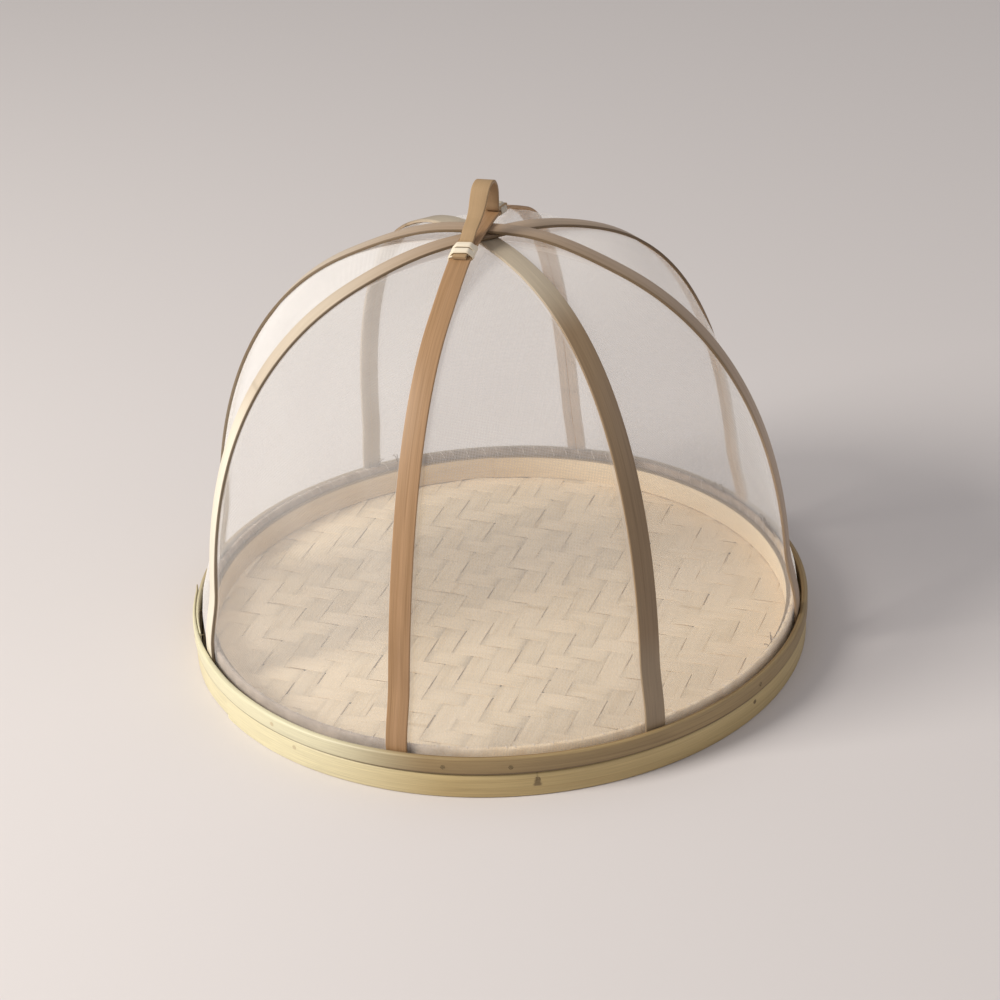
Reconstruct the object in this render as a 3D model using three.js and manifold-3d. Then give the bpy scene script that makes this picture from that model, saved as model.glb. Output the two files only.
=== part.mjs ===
// A domed food cover standing on its round woven tray.
// The tray is a twill-woven bamboo mat held between bent bamboo hoops, with a raised lip.
// The cover drops over that lip: two hoops grip the feet of four arched bamboo strips and
// the hem of a netting dome, and a bent loop of bamboo, bound on with cane, is the handle.
// Millimetres, +Z up. The origin is the centre of the tray's underside. Azimuths are degrees
// from the front, which is -Y, turning towards +X.

import * as THREE from 'three';
import { mergeVertices } from 'three/addons/utils/BufferGeometryUtils.js';
import Module from 'manifold-3d';

const wasm = await Module();
wasm.setup();

// Tray
const trayRadius = 160;
const trayHoopThickness = 3.2;
const trayHoopHeight = 12.9;
const matThickness = 1.3;
const matTop = 6.4;
const matRimSetback = 1.2;
const lipThickness = 2.2;
const lipTop = 20.4;
const trayBradHeight = 9.4;
const trayBradCount = 8;
const trayBradAzimuth = 5;

// Ring of the cover
const coverHoopProud = 0.6;
const coverHoopThickness = 3.2;
const coverHoopHeight = 9.1;
const innerHoopThickness = 1.2;
const innerHoopHeight = 10;
const innerHoopSetback = 0.5;
const hemThickness = 0.3;
const lidClearance = 0.3;
const coverBradHeight = 17.6;

// Arched strips and netting
const ribWidth = 10.5;
const ribThickness = 1.5;
const ribEdgeRound = 0.25;
const ribLeanIn = 4.1;
const ribLeanHeight = 32;
const domeHeight = 219.9;
const springHeight = 9.4;
const domeRadialPower = 2.28;
const domeHeightPower = 2.6;
const crossingFlat = 18;
const crossingFade = 70;
const netThickness = 0.3;
const netPullHeight = 60;
const netApexRadius = 9;
const netSlack = 0.8;
const seamShare = 0.1;
const flatShare = 0.3;

// Handle and its bindings
const handleThickness = 1.5;
const handleFootWidth = 7;
const handleTopWidth = 9.2;
const handleHeight = 20.8;
const handleDrift = 1.5;
const handleLean = 1.8;
const handleLiftOff = 20.5;
const handleFootLength = 15.5;
const handleSeatGap = 0.5;
const caneWidth = 4;
const caneThickness = 0.7;
const caneTurns = 2;
const caneTurnGap = 0.5;
const caneCornerRadius = 1;
const caneSeatGap = 0.3;
const bindingSetback = 1.5;

// Brads
const bradHeadRadius = 1.2;
const bradHeadThickness = 0.4;
const bradShankRadius = 0.6;
const bradHoleClearance = 0.15;
const bradTipLength = 1.2;
const bradBlindDepth = 0.5;

// Fits
const layerGap = 0.25;
const crossingGap = 0.45;
const netGap = 0.2;
const seatGap = 0.2;

// Lap joints of the hoops
const lapLength = 50;
const lapRampLength = 28;
const lapTipShare = 0.25;

// Facets
const hoopFacets = 60;
const domeStations = 17;
const netColumns = 6;
const handleStations = 44;
const cornerSteps = 2;
const bradFacets = 6;

// The arched strips, each from the azimuth of its first foot over the crossing to that of its
// second. Layer 0 was laid first. The shares are of the dome's radius: how far each half bows
// sideways and stands up above the round dome, and where the strip crosses the middle.
const strips = [
  {
    name: 'rib_strip_a', layer: 3, azimuths: [-19.5, 162], bowShares: [0.028, 0.018],
    liftShares: [0.03, 0.028], crossingShares: [-0.009, -0.012],
  },
  {
    name: 'rib_strip_b', layer: 0, azimuths: [27, 206.5], bowShares: [0.016, 0.016],
    liftShares: [0.032, 0], crossingShares: [0.01, -0.008],
  },
  {
    name: 'rib_strip_c', layer: 2, azimuths: [76, 253], bowShares: [-0.004, 0.004],
    liftShares: [-0.006, 0.012], crossingShares: [0.006, 0.015],
  },
  {
    name: 'rib_strip_d', layer: 1, azimuths: [119.5, 289], bowShares: [0.032, -0.034],
    liftShares: [0.026, 0], crossingShares: [0.01, -0.012],
  },
];

// Where the handle's free part runs between its two feet: how far across, and how high.
const handleShares = [
  [0, 0], [0.1, 0.18], [0.26, 0.34], [0.35, 0.51], [0.41, 0.73], [0.48, 0.93], [0.585, 1],
  [0.7, 0.95], [0.81, 0.76], [0.9, 0.5], [0.96, 0.22], [1, 0],
];

const lapAzimuths = { trayHoop: -60, clampHoop: -150, lipHoop: 162, coverHoop: -96, innerHoop: 108 };
const coverBradAzimuths = [-11, 0.5, 51.5, 97.5, 141, 184, 230, 271, 280, 315];

const radians = (degrees) => THREE.MathUtils.degToRad(degrees);
const facetAngle = 360 / hoopFacets;
const feet = [0, 1].flatMap((half) => strips.map((strip) => strip.azimuths[half]));
const goreAngles = feet.map((azimuth, i) =>
  THREE.MathUtils.euclideanModulo(feet[(i + 1) % feet.length] - azimuth, 360));

// How far the middle of a facet lies inside the round through its corners.
const sag = (radius, angle) => radius * (1 - Math.cos(radians(angle) / 2));

// Radii, from the outside inwards. The cover's layers come first, because the lip has to
// clear the innermost of them, and the clamp hoop fills what is left inside the mat's rim.
const coverHoopOuter = trayRadius + coverHoopProud;
const coverHoopInner = coverHoopOuter - coverHoopThickness;
const footRadius = coverHoopInner - sag(coverHoopInner, facetAngle) - layerGap;
const netRadius = footRadius - ribThickness - netGap;
const netInner = netRadius - netThickness - sag(netRadius, Math.max(...goreAngles) / netColumns);
const hemOuter = netInner - netGap;
const innerHoopOuter = hemOuter - hemThickness - seatGap;
const innerHoopInner = innerHoopOuter - innerHoopThickness;
const hemInner = innerHoopInner - seatGap - hemThickness;
const lipOuter = hemInner - lidClearance;
const lipInner = lipOuter - lipThickness;
const trayHoopInner = trayRadius - trayHoopThickness;
const matRimOuter = trayHoopInner - layerGap;
const matRimInner = matRimOuter - matThickness;
const clampOuter = matRimInner - layerGap;
const clampInner = lipOuter + layerGap;
const domeRadius = footRadius - ribLeanIn;

// Heights
const ringBottom = trayHoopHeight + seatGap;
const ringTop = ringBottom + coverHoopHeight;
const innerHoopBottom = ringBottom + innerHoopSetback;
const innerHoopTop = innerHoopBottom + innerHoopHeight;
const hemTop = innerHoopTop + seatGap + hemThickness;
const footBottom = innerHoopBottom;
const gripTop = Math.max(hemTop, ringTop) + seatGap;
const layerPitch = ribThickness + crossingGap;

const quarterTurn = Math.PI / 2;
const fullTurn = 2 * Math.PI;

const mix = THREE.MathUtils.lerp;
const smooth = THREE.MathUtils.smoothstep;
const hump = (share) => 4 * share * (1 - share);
const outwardAt = (azimuth) =>
  new THREE.Vector3(Math.sin(radians(azimuth)), -Math.cos(radians(azimuth)), 0);
const alongAt = (azimuth) =>
  new THREE.Vector3(Math.cos(radians(azimuth)), Math.sin(radians(azimuth)), 0);
const around = (radius, azimuth, z) => outwardAt(azimuth).multiplyScalar(radius).setZ(z);

// Shares the vertices of a closed shape, drops what collapses on an axis and turns every
// face outwards.
function closedShape(geometry) {
  geometry.deleteAttribute('normal');
  geometry.deleteAttribute('uv');
  const shape = mergeVertices(geometry);
  const corners = Array.from(shape.index.array);
  const at = (i) => new THREE.Vector3().fromBufferAttribute(shape.attributes.position, i);
  const kept = [];
  let volume = 0;
  for (let i = 0; i < corners.length; i += 3) {
    const [a, b, c] = corners.slice(i, i + 3);
    if (a === b || b === c || c === a) continue;
    kept.push([a, b, c]);
    volume += at(a).dot(at(b).cross(at(c)));
  }
  shape.setIndex(kept.flatMap(([a, b, c]) => (volume < 0 ? [a, c, b] : [a, b, c])));
  shape.computeVertexNormals();
  return shape;
}

// A closed solid through a row of like sections, each a loop of an even count of points.
// The second half of each loop is split along the other diagonals, so that the two walls of a
// thin sheet bend along the same lines. The two ends are closed by a ladder of faces across
// the section, unless the row is joined into a ring.
function loft(sections, joined = false) {
  const count = sections[0].length;
  const rows = joined ? sections.length : sections.length - 1;
  const faces = [];
  for (let row = 0; row < rows; row++) {
    const here = row * count;
    const there = ((row + 1) % sections.length) * count;
    for (let i = 0; i < count; i++) {
      const j = (i + 1) % count;
      if (i < count / 2) {
        faces.push(here + i, here + j, there + j, here + i, there + j, there + i);
      } else {
        faces.push(here + i, here + j, there + i, here + j, there + j, there + i);
      }
    }
  }
  if (!joined) {
    const last = (sections.length - 1) * count;
    for (let i = 0; i < count / 2 - 1; i++) {
      const rung = [i, i + 1, count - 2 - i, count - 1 - i];
      const [a, b, c, d] = rung;
      const [e, f, g, h] = rung.map((corner) => corner + last);
      faces.push(a, c, b, a, d, c, e, f, g, e, g, h);
    }
  }
  const geometry = new THREE.BufferGeometry();
  const places = sections.flat().flatMap((point) => point.toArray());
  geometry.setAttribute('position', new THREE.Float32BufferAttribute(places, 3));
  geometry.setIndex(faces);
  return closedShape(geometry);
}

// A ring turned round the vertical axis from a loop of [radius, height] points.
function turnedRing(profile) {
  const sections = [];
  for (let i = 0; i < hoopFacets; i++) {
    sections.push(profile.map(([radius, z]) => around(radius, i * facetAngle, z)));
  }
  return loft(sections, true);
}

function toManifold(geometry) {
  return new wasm.Manifold(new wasm.Mesh({
    numProp: 3,
    vertProperties: new Float32Array(geometry.attributes.position.array),
    triVerts: new Uint32Array(geometry.index.array),
  }));
}

function cut(geometry, tools) {
  const solid = tools.reduce((left, tool) => left.subtract(toManifold(tool)), toManifold(geometry));
  const { vertProperties, triVerts } = solid.getMesh();
  const result = new THREE.BufferGeometry();
  result.setAttribute('position', new THREE.Float32BufferAttribute(vertProperties, 3));
  result.setIndex(Array.from(triVerts));
  result.computeVertexNormals();
  return result;
}

function named(name, geometry, color, roughness, metalness = 0) {
  const material = new THREE.MeshStandardMaterial({ color, roughness, metalness, flatShading: true });
  const mesh = new THREE.Mesh(geometry, material);
  mesh.name = name;
  return mesh;
}

// Brads are driven flush from the outside and stop inside the last hoop. The hole follows
// the brad with a clearance all round.
function bradProfile(length, clearance) {
  const head = bradHeadRadius + clearance;
  const shank = bradShankRadius + clearance;
  const headDepth = bradHeadThickness + clearance;
  const tipStart = length - bradTipLength;
  return [
    [0, 0], [head, 0], [head, -headDepth], [shank, -headDepth], [shank, -tipStart],
    [0, -(length + clearance)],
  ].map(([radius, depth]) => new THREE.Vector2(radius, depth));
}

function bradShape(length, clearance = 0) {
  return closedShape(new THREE.LatheGeometry(bradProfile(length, clearance), bradFacets));
}

// Stands a shape that is drawn along +Y on its azimuth, with +Y pointing outwards.
function placeOutwards(object, radius, azimuth, z) {
  object.position.copy(around(radius, azimuth, z));
  object.quaternion.setFromUnitVectors(new THREE.Vector3(0, 1, 0), outwardAt(azimuth));
  return object;
}

// The hole starts outside the hoop, so that it opens the faceted face cleanly.
function bradHole(headRadius, tipRadius, azimuth, z) {
  const overrun = bradHeadThickness;
  const pocket = new THREE.CylinderGeometry(
    bradHeadRadius + bradHoleClearance, bradHeadRadius + bradHoleClearance,
    overrun * 2 + bradHoleClearance * 2, bradFacets,
  );
  const shank = new THREE.CylinderGeometry(
    bradShankRadius + bradHoleClearance, bradShankRadius + bradHoleClearance,
    headRadius - tipRadius + overrun, bradFacets,
  );
  return [[pocket, headRadius], [shank, (headRadius + tipRadius + overrun) / 2]].map(
    ([geometry, radius]) => {
      const tool = placeOutwards(new THREE.Object3D(), radius, azimuth, z);
      tool.updateMatrix();
      return closedShape(geometry.applyMatrix4(tool.matrix));
    },
  );
}

// A hoop is one strip bent round until its ends overlap. Both ends are shaved to a tip, so
// the lap keeps the hoop's thickness. The outer layer ends at the tip azimuth.
function hoop({ inner, outer, bottom, top, tipAzimuth }) {
  const thickness = outer - inner;
  const tip = thickness * lapTipShare;
  const thick = thickness - tip - Math.min(layerGap, tip);
  const split = thickness - tip - thick;
  const facetsIn = (length) => Math.max(1, Math.round(length / (radians(facetAngle) * trayRadius)));
  const lap = facetsIn(lapLength);
  const ramp = facetsIn(lapRampLength);
  const tipFacet = Math.round(tipAzimuth / facetAngle);
  const sections = [];
  for (let k = 0; k <= hoopFacets + lap; k++) {
    const over = k - hoopFacets;
    let low = inner;
    let high = outer;
    if (k <= lap) {
      high = inner + mix(tip, thick, k / lap);
    } else if (k < lap + ramp) {
      high = mix(inner + thick, outer, (k - lap) / ramp);
    }
    if (over >= 0) {
      low = inner + split + mix(tip, thick, over / lap);
    } else if (over > -ramp) {
      low = mix(inner, inner + split + tip, (over + ramp) / ramp);
    }
    const azimuth = (tipFacet + hoopFacets + lap - k) * facetAngle;
    sections.push([
      around(low, azimuth, bottom), around(high, azimuth, bottom),
      around(high, azimuth, top), around(low, azimuth, top),
    ]);
  }
  return loft(sections);
}

// Outer line of an arched strip from its foot to the crossing, as stations of radius, height
// and share of the way. The foot stands upright in the ring, leans in above it and then
// follows a superelliptic dome.
function domeProfile() {
  const springDistance = (z) => ((z - springHeight) / (domeHeight - springHeight));
  const startAngle = Math.asin(springDistance(gripTop) ** (domeHeightPower / 2));
  const domeAt = (angle) => domeRadius * Math.cos(angle) ** (2 / domeRadialPower);
  const lead = footRadius - domeAt(startAngle);
  const fineSteps = 600;
  const fine = [];
  for (let i = 0; i <= fineSteps; i++) {
    const angle = mix(startAngle, quarterTurn, i / fineSteps);
    const z = springHeight
      + (domeHeight - springHeight) * Math.sin(angle) ** (2 / domeHeightPower);
    const lean = 1 - smooth(z, gripTop, gripTop + ribLeanHeight);
    fine.push(new THREE.Vector2(i === fineSteps ? 0 : domeAt(angle) + lead * lean, z));
  }
  const lengths = [0];
  for (let i = 1; i < fine.length; i++) {
    lengths.push(lengths[i - 1] + fine[i].distanceTo(fine[i - 1]));
  }
  const total = lengths[lengths.length - 1];
  const pointAt = (length) => {
    const i = Math.max(1, lengths.findIndex((reached) => reached >= length));
    const share = (length - lengths[i - 1]) / (lengths[i] - lengths[i - 1]);
    return fine[i - 1].clone().lerp(fine[i], share);
  };
  const stations = [{ radius: footRadius, z: footBottom, share: 0 }];
  for (let i = 0; i < domeStations; i++) {
    const share = i / domeStations;
    const { x, y } = pointAt(total * share);
    stations.push({ radius: x, z: y, share });
  }
  stations.push({ radius: netApexRadius, z: domeHeight, share: 1 - netApexRadius / total });
  stations.push({ radius: 0, z: domeHeight, share: 1 });
  return stations;
}

// One half of an arch. Every station has its place, the direction up the strip, the
// direction across it and the direction out of its face. The raised line piles the strip on
// those that were laid before it, and the base line is where the netting runs.
function ribLine(strip, half, profile, raise) {
  const middle = (strip.azimuths[0] + strip.azimuths[1] - 180) / 2 + half * 180;
  const swing = strip.azimuths[half] - middle;
  const cross = new THREE.Vector3(strip.crossingShares[0], strip.crossingShares[1], 0);
  const places = profile.map(({ radius, z, share }) => {
    const reach = Math.min(1, radius / domeRadius);
    const away = 1 - reach * reach;
    const azimuth = middle + swing * Math.sin(quarterTurn * Math.min(1, radius / footRadius));
    const bow = strip.bowShares[half] * domeRadius * Math.sin(Math.PI * share);
    const lift = strip.liftShares[half] * domeRadius * hump(reach * reach);
    const piled = raise * (1 - smooth(radius, crossingFlat, crossingFade));
    return around(radius, azimuth, z + lift + piled)
      .addScaledVector(alongAt(azimuth), bow)
      .addScaledVector(cross, domeRadius * away);
  });
  return places.map((place, i) => {
    const before = places[Math.max(0, i - 1)];
    const after = places[Math.min(places.length - 1, i + 1)];
    const up = after.clone().sub(before).normalize();
    const azimuth = THREE.MathUtils.radToDeg(Math.atan2(place.x, -place.y));
    const level = i < 2 ? 0 : Math.hypot(up.x, up.y);
    const facing = outwardAt(i < 2 ? strip.azimuths[half] : azimuth)
      .multiplyScalar(Math.max(0, up.z))
      .setZ(level);
    const out = facing.addScaledVector(up, -facing.dot(up)).normalize();
    return { place, up, out, across: up.clone().cross(out).normalize(), reach: profile[i].radius };
  });
}

// The whole arch: the first half up to the crossing and the second half down again, with the
// directions of the first half kept all the way.
function archLine(strip, profile, raise) {
  const first = ribLine(strip, 0, profile, raise);
  const second = ribLine(strip, 1, profile, raise).reverse().slice(1).map((station) => ({
    place: station.place,
    up: station.up.clone().negate(),
    out: station.out,
    across: station.across.clone().negate(),
    reach: -station.reach,
  }));
  const top = first[first.length - 1];
  top.up = second[0].place.clone().sub(first[first.length - 2].place).normalize();
  top.across.crossVectors(top.up, top.out).normalize();
  return [...first, ...second];
}

function ribShape(line) {
  const half = ribWidth / 2;
  const edge = [
    [-half + ribEdgeRound, 0], [half - ribEdgeRound, 0], [half, -ribEdgeRound],
    [half, -ribThickness], [-half, -ribThickness], [-half, -ribEdgeRound],
  ];
  return loft(line.map(({ place, across, out }) =>
    edge.map(([sideways, deep]) =>
      place.clone().addScaledVector(across, sideways).addScaledVector(out, deep))));
}

// One gore of the netting dome, between two neighbouring ribs. It lies flat under each rib
// up to its seam, is drawn straight from rib to rib above, and follows the ring at its hem.
// Below the crossing it hangs a little slack.
function goreShape(lineA, lineB, holes) {
  const slack = (radius) => netSlack * (1 - smooth(radius, crossingFlat, crossingFade));
  const under = (station, sideways) => station.place.clone()
    .addScaledVector(station.out, -(ribThickness + netGap + slack(station.reach)))
    .addScaledVector(station.across, sideways);
  const rows = lineA.slice(0, -1).map((stationA, i) => {
    const stationB = lineB[i];
    const spacing = stationA.place.distanceTo(stationB.place);
    const seam = Math.min(netGap, spacing * seamShare);
    const flat = Math.min(ribWidth / 2, spacing * flatShare);
    const start = under(stationA, flat);
    const end = under(stationB, -flat);
    const pull = smooth(stationA.place.z, gripTop, gripTop + netPullHeight);
    const startAngle = Math.atan2(start.x, -start.y);
    const turn = THREE.MathUtils.euclideanModulo(Math.atan2(end.x, -end.y) - startAngle, fullTurn);
    const row = [under(stationA, seam)];
    for (let k = 0; k <= netColumns; k++) {
      const share = k / netColumns;
      const straight = start.clone().lerp(end, share);
      const radius = mix(Math.hypot(start.x, start.y), Math.hypot(end.x, end.y), share);
      const azimuth = THREE.MathUtils.radToDeg(startAngle + turn * share);
      row.push(around(radius, azimuth, straight.z).lerp(straight, pull));
    }
    row.push(under(stationB, -seam));
    return row;
  });
  const sections = rows.map((row, i) => row.map((point, k) => {
    const rowBefore = rows[Math.max(0, i - 1)][k];
    const rowAfter = rows[Math.min(rows.length - 1, i + 1)][k];
    const sideways = row[Math.min(row.length - 1, k + 1)].clone().sub(row[Math.max(0, k - 1)]);
    const out = sideways.cross(rowAfter.clone().sub(rowBefore)).normalize();
    return [point, point.clone().addScaledVector(out, -netThickness)];
  }));
  const loops = sections.map((row) =>
    [...row.map(([outer]) => outer), ...row.map(([, inner]) => inner).reverse()]);
  return cut(loft(loops), holes);
}
// A place on an arch at a distance from the crossing, along the first half if positive.
function stationAt(line, reach) {
  const i = Math.max(1, line.findIndex((station) => station.reach <= reach));
  const [before, after] = [line[i - 1], line[i]];
  const share = (before.reach - reach) / (before.reach - after.reach);
  const blend = (key) => before[key].clone().lerp(after[key], share);
  return {
    place: blend('place'),
    up: blend('up').normalize(),
    out: blend('out').normalize(),
    across: blend('across').normalize(),
  };
}

// The handle lies on the top strip at both ends and stands up between them in a leaning loop.
function handleShape(line) {
  const lie = (reach) => {
    const { place, out } = stationAt(line, reach);
    return place.addScaledVector(out, handleSeatGap + handleThickness / 2);
  };
  const footSteps = 4;
  const reachAt = (i) => handleLiftOff + handleFootLength * i / footSteps;
  const front = [];
  const back = [];
  for (let i = footSteps; i > 0; i--) front.push(lie(reachAt(i)));
  for (let i = 1; i <= footSteps; i++) back.push(lie(-reachAt(i)));
  const { across } = stationAt(line, 0);
  const from = lie(handleLiftOff);
  const to = lie(-handleLiftOff).addScaledVector(across, handleDrift);
  const free = handleShares.map(([acrossShare, heightShare]) => {
    const point = from.clone().lerp(to, acrossShare);
    return point.addScaledVector(across, handleLean * heightShare)
      .setZ(point.z + handleHeight * heightShare);
  });
  back.forEach((point) => point.addScaledVector(across, handleDrift));
  const curve = new THREE.CatmullRomCurve3([...front, ...free, ...back], false, 'centripetal');
  const sections = [];
  for (let i = 0; i <= handleStations; i++) {
    const share = i / handleStations;
    const centre = curve.getPointAt(share);
    const forward = curve.getTangentAt(share);
    const out = forward.clone().cross(across).normalize();
    const sideways = out.clone().cross(forward).normalize();
    const rise = (centre.z - from.z) / handleHeight;
    const width = mix(handleFootWidth, handleTopWidth, smooth(rise, 0, 1)) / 2;
    const deep = handleThickness / 2;
    const edge = [[-width, deep], [width, deep], [width, -deep], [-width, -deep]];
    sections.push(edge.map(([aside, proud]) =>
      centre.clone().addScaledVector(sideways, aside).addScaledVector(out, proud)));
  }
  return loft(sections);
}

// One turn round a rectangle with round corners, as stops with their outward directions and
// how far round each of them comes.
function roundedLoop(halfWidth, halfHeight, radius) {
  const stops = [];
  for (let corner = 0; corner < 4; corner++) {
    const diagonal = (corner + 1 / 2) * quarterTurn;
    const x = Math.sign(Math.cos(diagonal)) * (halfWidth - radius);
    const y = Math.sign(Math.sin(diagonal)) * (halfHeight - radius);
    for (let step = 0; step <= cornerSteps; step++) {
      const angle = (corner + step / cornerSteps) * quarterTurn;
      const out = new THREE.Vector2(Math.cos(angle), Math.sin(angle));
      stops.push({ point: new THREE.Vector2(x, y).addScaledVector(out, radius), out });
    }
  }
  let length = 0;
  stops.forEach((stop, i) => {
    if (i > 0) length += stop.point.distanceTo(stops[i - 1].point);
    stop.reached = length;
  });
  length += stops[0].point.distanceTo(stops[stops.length - 1].point);
  return stops.map(({ point, out, reached }) => ({ point, out, share: reached / length }));
}

// Split cane wound round the top strip and a foot of the handle, one unbroken flat band.
function bindingShape(line, firstReach, side) {
  const fit = caneSeatGap + caneThickness / 2;
  const bundle = ribThickness + handleSeatGap + handleThickness;
  const loop = roundedLoop(ribWidth / 2 + fit, bundle / 2 + fit, caneCornerRadius);
  const middle = bundle / 2 - ribThickness;
  const pitch = caneWidth + caneTurnGap;
  const stops = [];
  for (let turn = 0; turn < caneTurns; turn++) {
    stops.push(...loop.map((stop) => ({ ...stop, turns: turn + stop.share })));
  }
  stops.push({ ...loop[0], turns: caneTurns });
  const sections = stops.map(({ point, out: normal, turns }) => {
    const reach = side * (firstReach + caneWidth / 2 + pitch * turns);
    const { place, up, out, across } = stationAt(line, reach);
    const proud = across.clone().multiplyScalar(normal.x).addScaledVector(out, normal.y);
    const centre = place.addScaledVector(across, point.x).addScaledVector(out, middle + point.y);
    const half = caneWidth / 2;
    const deep = caneThickness / 2;
    const shoulder = half - deep;
    const edge = [
      [-half, 0], [-shoulder, deep], [shoulder, deep], [half, 0], [shoulder, -deep],
      [-shoulder, -deep],
    ];
    return edge.map(([aside, high]) =>
      centre.clone().addScaledVector(up, aside).addScaledVector(proud, high));
  });
  return { shape: loft(sections), gap: leastGap(sections, loop.length) };
}

// Least distance between points of the band that lie a turn or more apart.
function leastGap(sections, stepsPerTurn) {
  let least = Infinity;
  sections.forEach((section, i) => {
    for (const later of sections.slice(i + stepsPerTurn - 1)) {
      for (const point of section) {
        for (const other of later) least = Math.min(least, point.distanceTo(other));
      }
    }
  });
  return least;
}

const pale = '#ddcb8e';
const tan = '#cbb08a';
const olive = '#a08c66';
const mat = '#ddccac';
const cane = '#e9dabd';
const net = '#e6dcde';
const steel = '#6b6259';

function buildTray() {
  const tray = new THREE.Group();
  const tipRadius = lipInner + bradBlindDepth;
  const azimuths = Array.from({ length: trayBradCount }, (unused, i) =>
    trayBradAzimuth + i * 360 / trayBradCount);
  const holes = azimuths.flatMap((azimuth) =>
    bradHole(trayRadius, tipRadius, azimuth, trayBradHeight));
  const seat = matTop + seatGap;

  tray.add(named('tray_outer_hoop', cut(hoop({
    inner: trayHoopInner, outer: trayRadius, bottom: 0, top: trayHoopHeight,
    tipAzimuth: lapAzimuths.trayHoop,
  }), holes), pale, 0.55));
  tray.add(named('tray_clamp_hoop', cut(hoop({
    inner: clampInner, outer: clampOuter, bottom: seat, top: trayHoopHeight,
    tipAzimuth: lapAzimuths.clampHoop,
  }), holes), tan, 0.6));
  tray.add(named('tray_lip_hoop', cut(hoop({
    inner: lipInner, outer: lipOuter, bottom: seat, top: lipTop,
    tipAzimuth: lapAzimuths.lipHoop,
  }), holes), tan, 0.6));

  const rimTop = trayHoopHeight - matRimSetback;
  const outline = [
    [0, matTop], [matRimInner, matTop], [matRimInner, rimTop], [matRimOuter, rimTop],
    [matRimOuter, matTop - matThickness], [0, matTop - matThickness],
  ].map(([radius, z]) => new THREE.Vector2(radius, z));
  const turned = new THREE.LatheGeometry(outline, hoopFacets).rotateX(quarterTurn);
  tray.add(named('woven_floor', cut(closedShape(turned), holes), mat, 0.8));

  const length = trayRadius - tipRadius - bradHoleClearance;
  azimuths.forEach((azimuth, i) => {
    const brad = named(`tray_brad_${i + 1}`, bradShape(length), steel, 0.5, 0.8);
    tray.add(placeOutwards(brad, trayRadius, azimuth, trayBradHeight));
  });
  return tray;
}

function buildCover() {
  const cover = new THREE.Group();
  const profile = domeProfile();
  const ribs = [0, 1].flatMap((half) => strips.map((strip) => ribLine(strip, half, profile, 0)));
  const tipRadius = innerHoopInner + bradBlindDepth;
  const holes = coverBradAzimuths.flatMap((azimuth) =>
    bradHole(coverHoopOuter, tipRadius, azimuth, coverBradHeight));

  cover.add(named('cover_outer_hoop', cut(hoop({
    inner: coverHoopInner, outer: coverHoopOuter, bottom: ringBottom, top: ringTop,
    tipAzimuth: lapAzimuths.coverHoop,
  }), holes), olive, 0.55));
  cover.add(named('cover_inner_hoop', cut(hoop({
    inner: innerHoopInner, outer: innerHoopOuter, bottom: innerHoopBottom, top: innerHoopTop,
    tipAzimuth: lapAzimuths.innerHoop,
  }), holes), tan, 0.6));
  const limbBottom = innerHoopBottom + seatGap;
  cover.add(named('hem_binding', cut(turnedRing([
    [hemOuter, limbBottom], [hemOuter, hemTop], [hemInner, hemTop], [hemInner, limbBottom],
    [hemInner + hemThickness, limbBottom], [hemInner + hemThickness, hemTop - hemThickness],
    [hemOuter - hemThickness, hemTop - hemThickness], [hemOuter - hemThickness, limbBottom],
  ]), holes), net, 0.9));

  const shades = ['#b58a60', '#8d7b5c', '#94866c', '#9a8a70'];
  const lines = strips.map((strip) => archLine(strip, profile, strip.layer * layerPitch));
  strips.forEach((strip, i) => cover.add(named(strip.name, ribShape(lines[i]), shades[i], 0.5)));
  ribs.forEach((rib, i) => {
    const next = ribs[(i + 1) % ribs.length];
    cover.add(named(`netting_gore_${i + 1}`, goreShape(rib, next, holes), net, 0.9));
  });

  const top = lines[0];
  cover.add(named('handle_loop', handleShape(top), '#b0916a', 0.5));
  const bindings = { front_binding: 1, rear_binding: -1 };
  for (const [name, side] of Object.entries(bindings)) {
    const { shape, gap } = bindingShape(top, handleLiftOff + bindingSetback, side);
    console.log(`${name}: least gap between turns ${gap.toFixed(2)} mm`);
    cover.add(named(name, shape, cane, 0.6));
  }

  const length = coverHoopOuter - tipRadius - bradHoleClearance;
  coverBradAzimuths.forEach((azimuth, i) => {
    const brad = named(`cover_brad_${i + 1}`, bradShape(length), steel, 0.5, 0.8);
    cover.add(placeOutwards(brad, coverHoopOuter, azimuth, coverBradHeight));
  });
  return cover;
}

const foodCover = new THREE.Group();
foodCover.add(buildTray(), buildCover());

export default foodCover;
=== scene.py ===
"""A bamboo food cover: a netting dome on arched strips, standing on its woven tray."""

import math
import random

import bpy
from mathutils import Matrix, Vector


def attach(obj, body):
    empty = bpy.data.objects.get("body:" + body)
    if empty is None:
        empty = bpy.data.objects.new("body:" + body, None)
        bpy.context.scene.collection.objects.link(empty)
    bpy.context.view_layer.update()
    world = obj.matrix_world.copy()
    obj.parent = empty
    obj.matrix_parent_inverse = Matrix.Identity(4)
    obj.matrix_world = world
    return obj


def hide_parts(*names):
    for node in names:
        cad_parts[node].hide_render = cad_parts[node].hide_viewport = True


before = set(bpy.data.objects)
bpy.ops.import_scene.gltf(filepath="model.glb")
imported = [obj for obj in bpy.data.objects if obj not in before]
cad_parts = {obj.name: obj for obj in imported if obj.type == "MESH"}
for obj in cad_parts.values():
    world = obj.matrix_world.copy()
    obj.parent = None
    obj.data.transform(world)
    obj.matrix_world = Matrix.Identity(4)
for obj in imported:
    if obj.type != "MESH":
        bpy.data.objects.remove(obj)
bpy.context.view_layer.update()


# ---- Tray, outer hoop ----
# One long strip of split bamboo, bent round hot with its pale skin outwards. Its ends are
# shaved thin and lapped, and brads hold the lap and everything inside the hoop.

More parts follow.
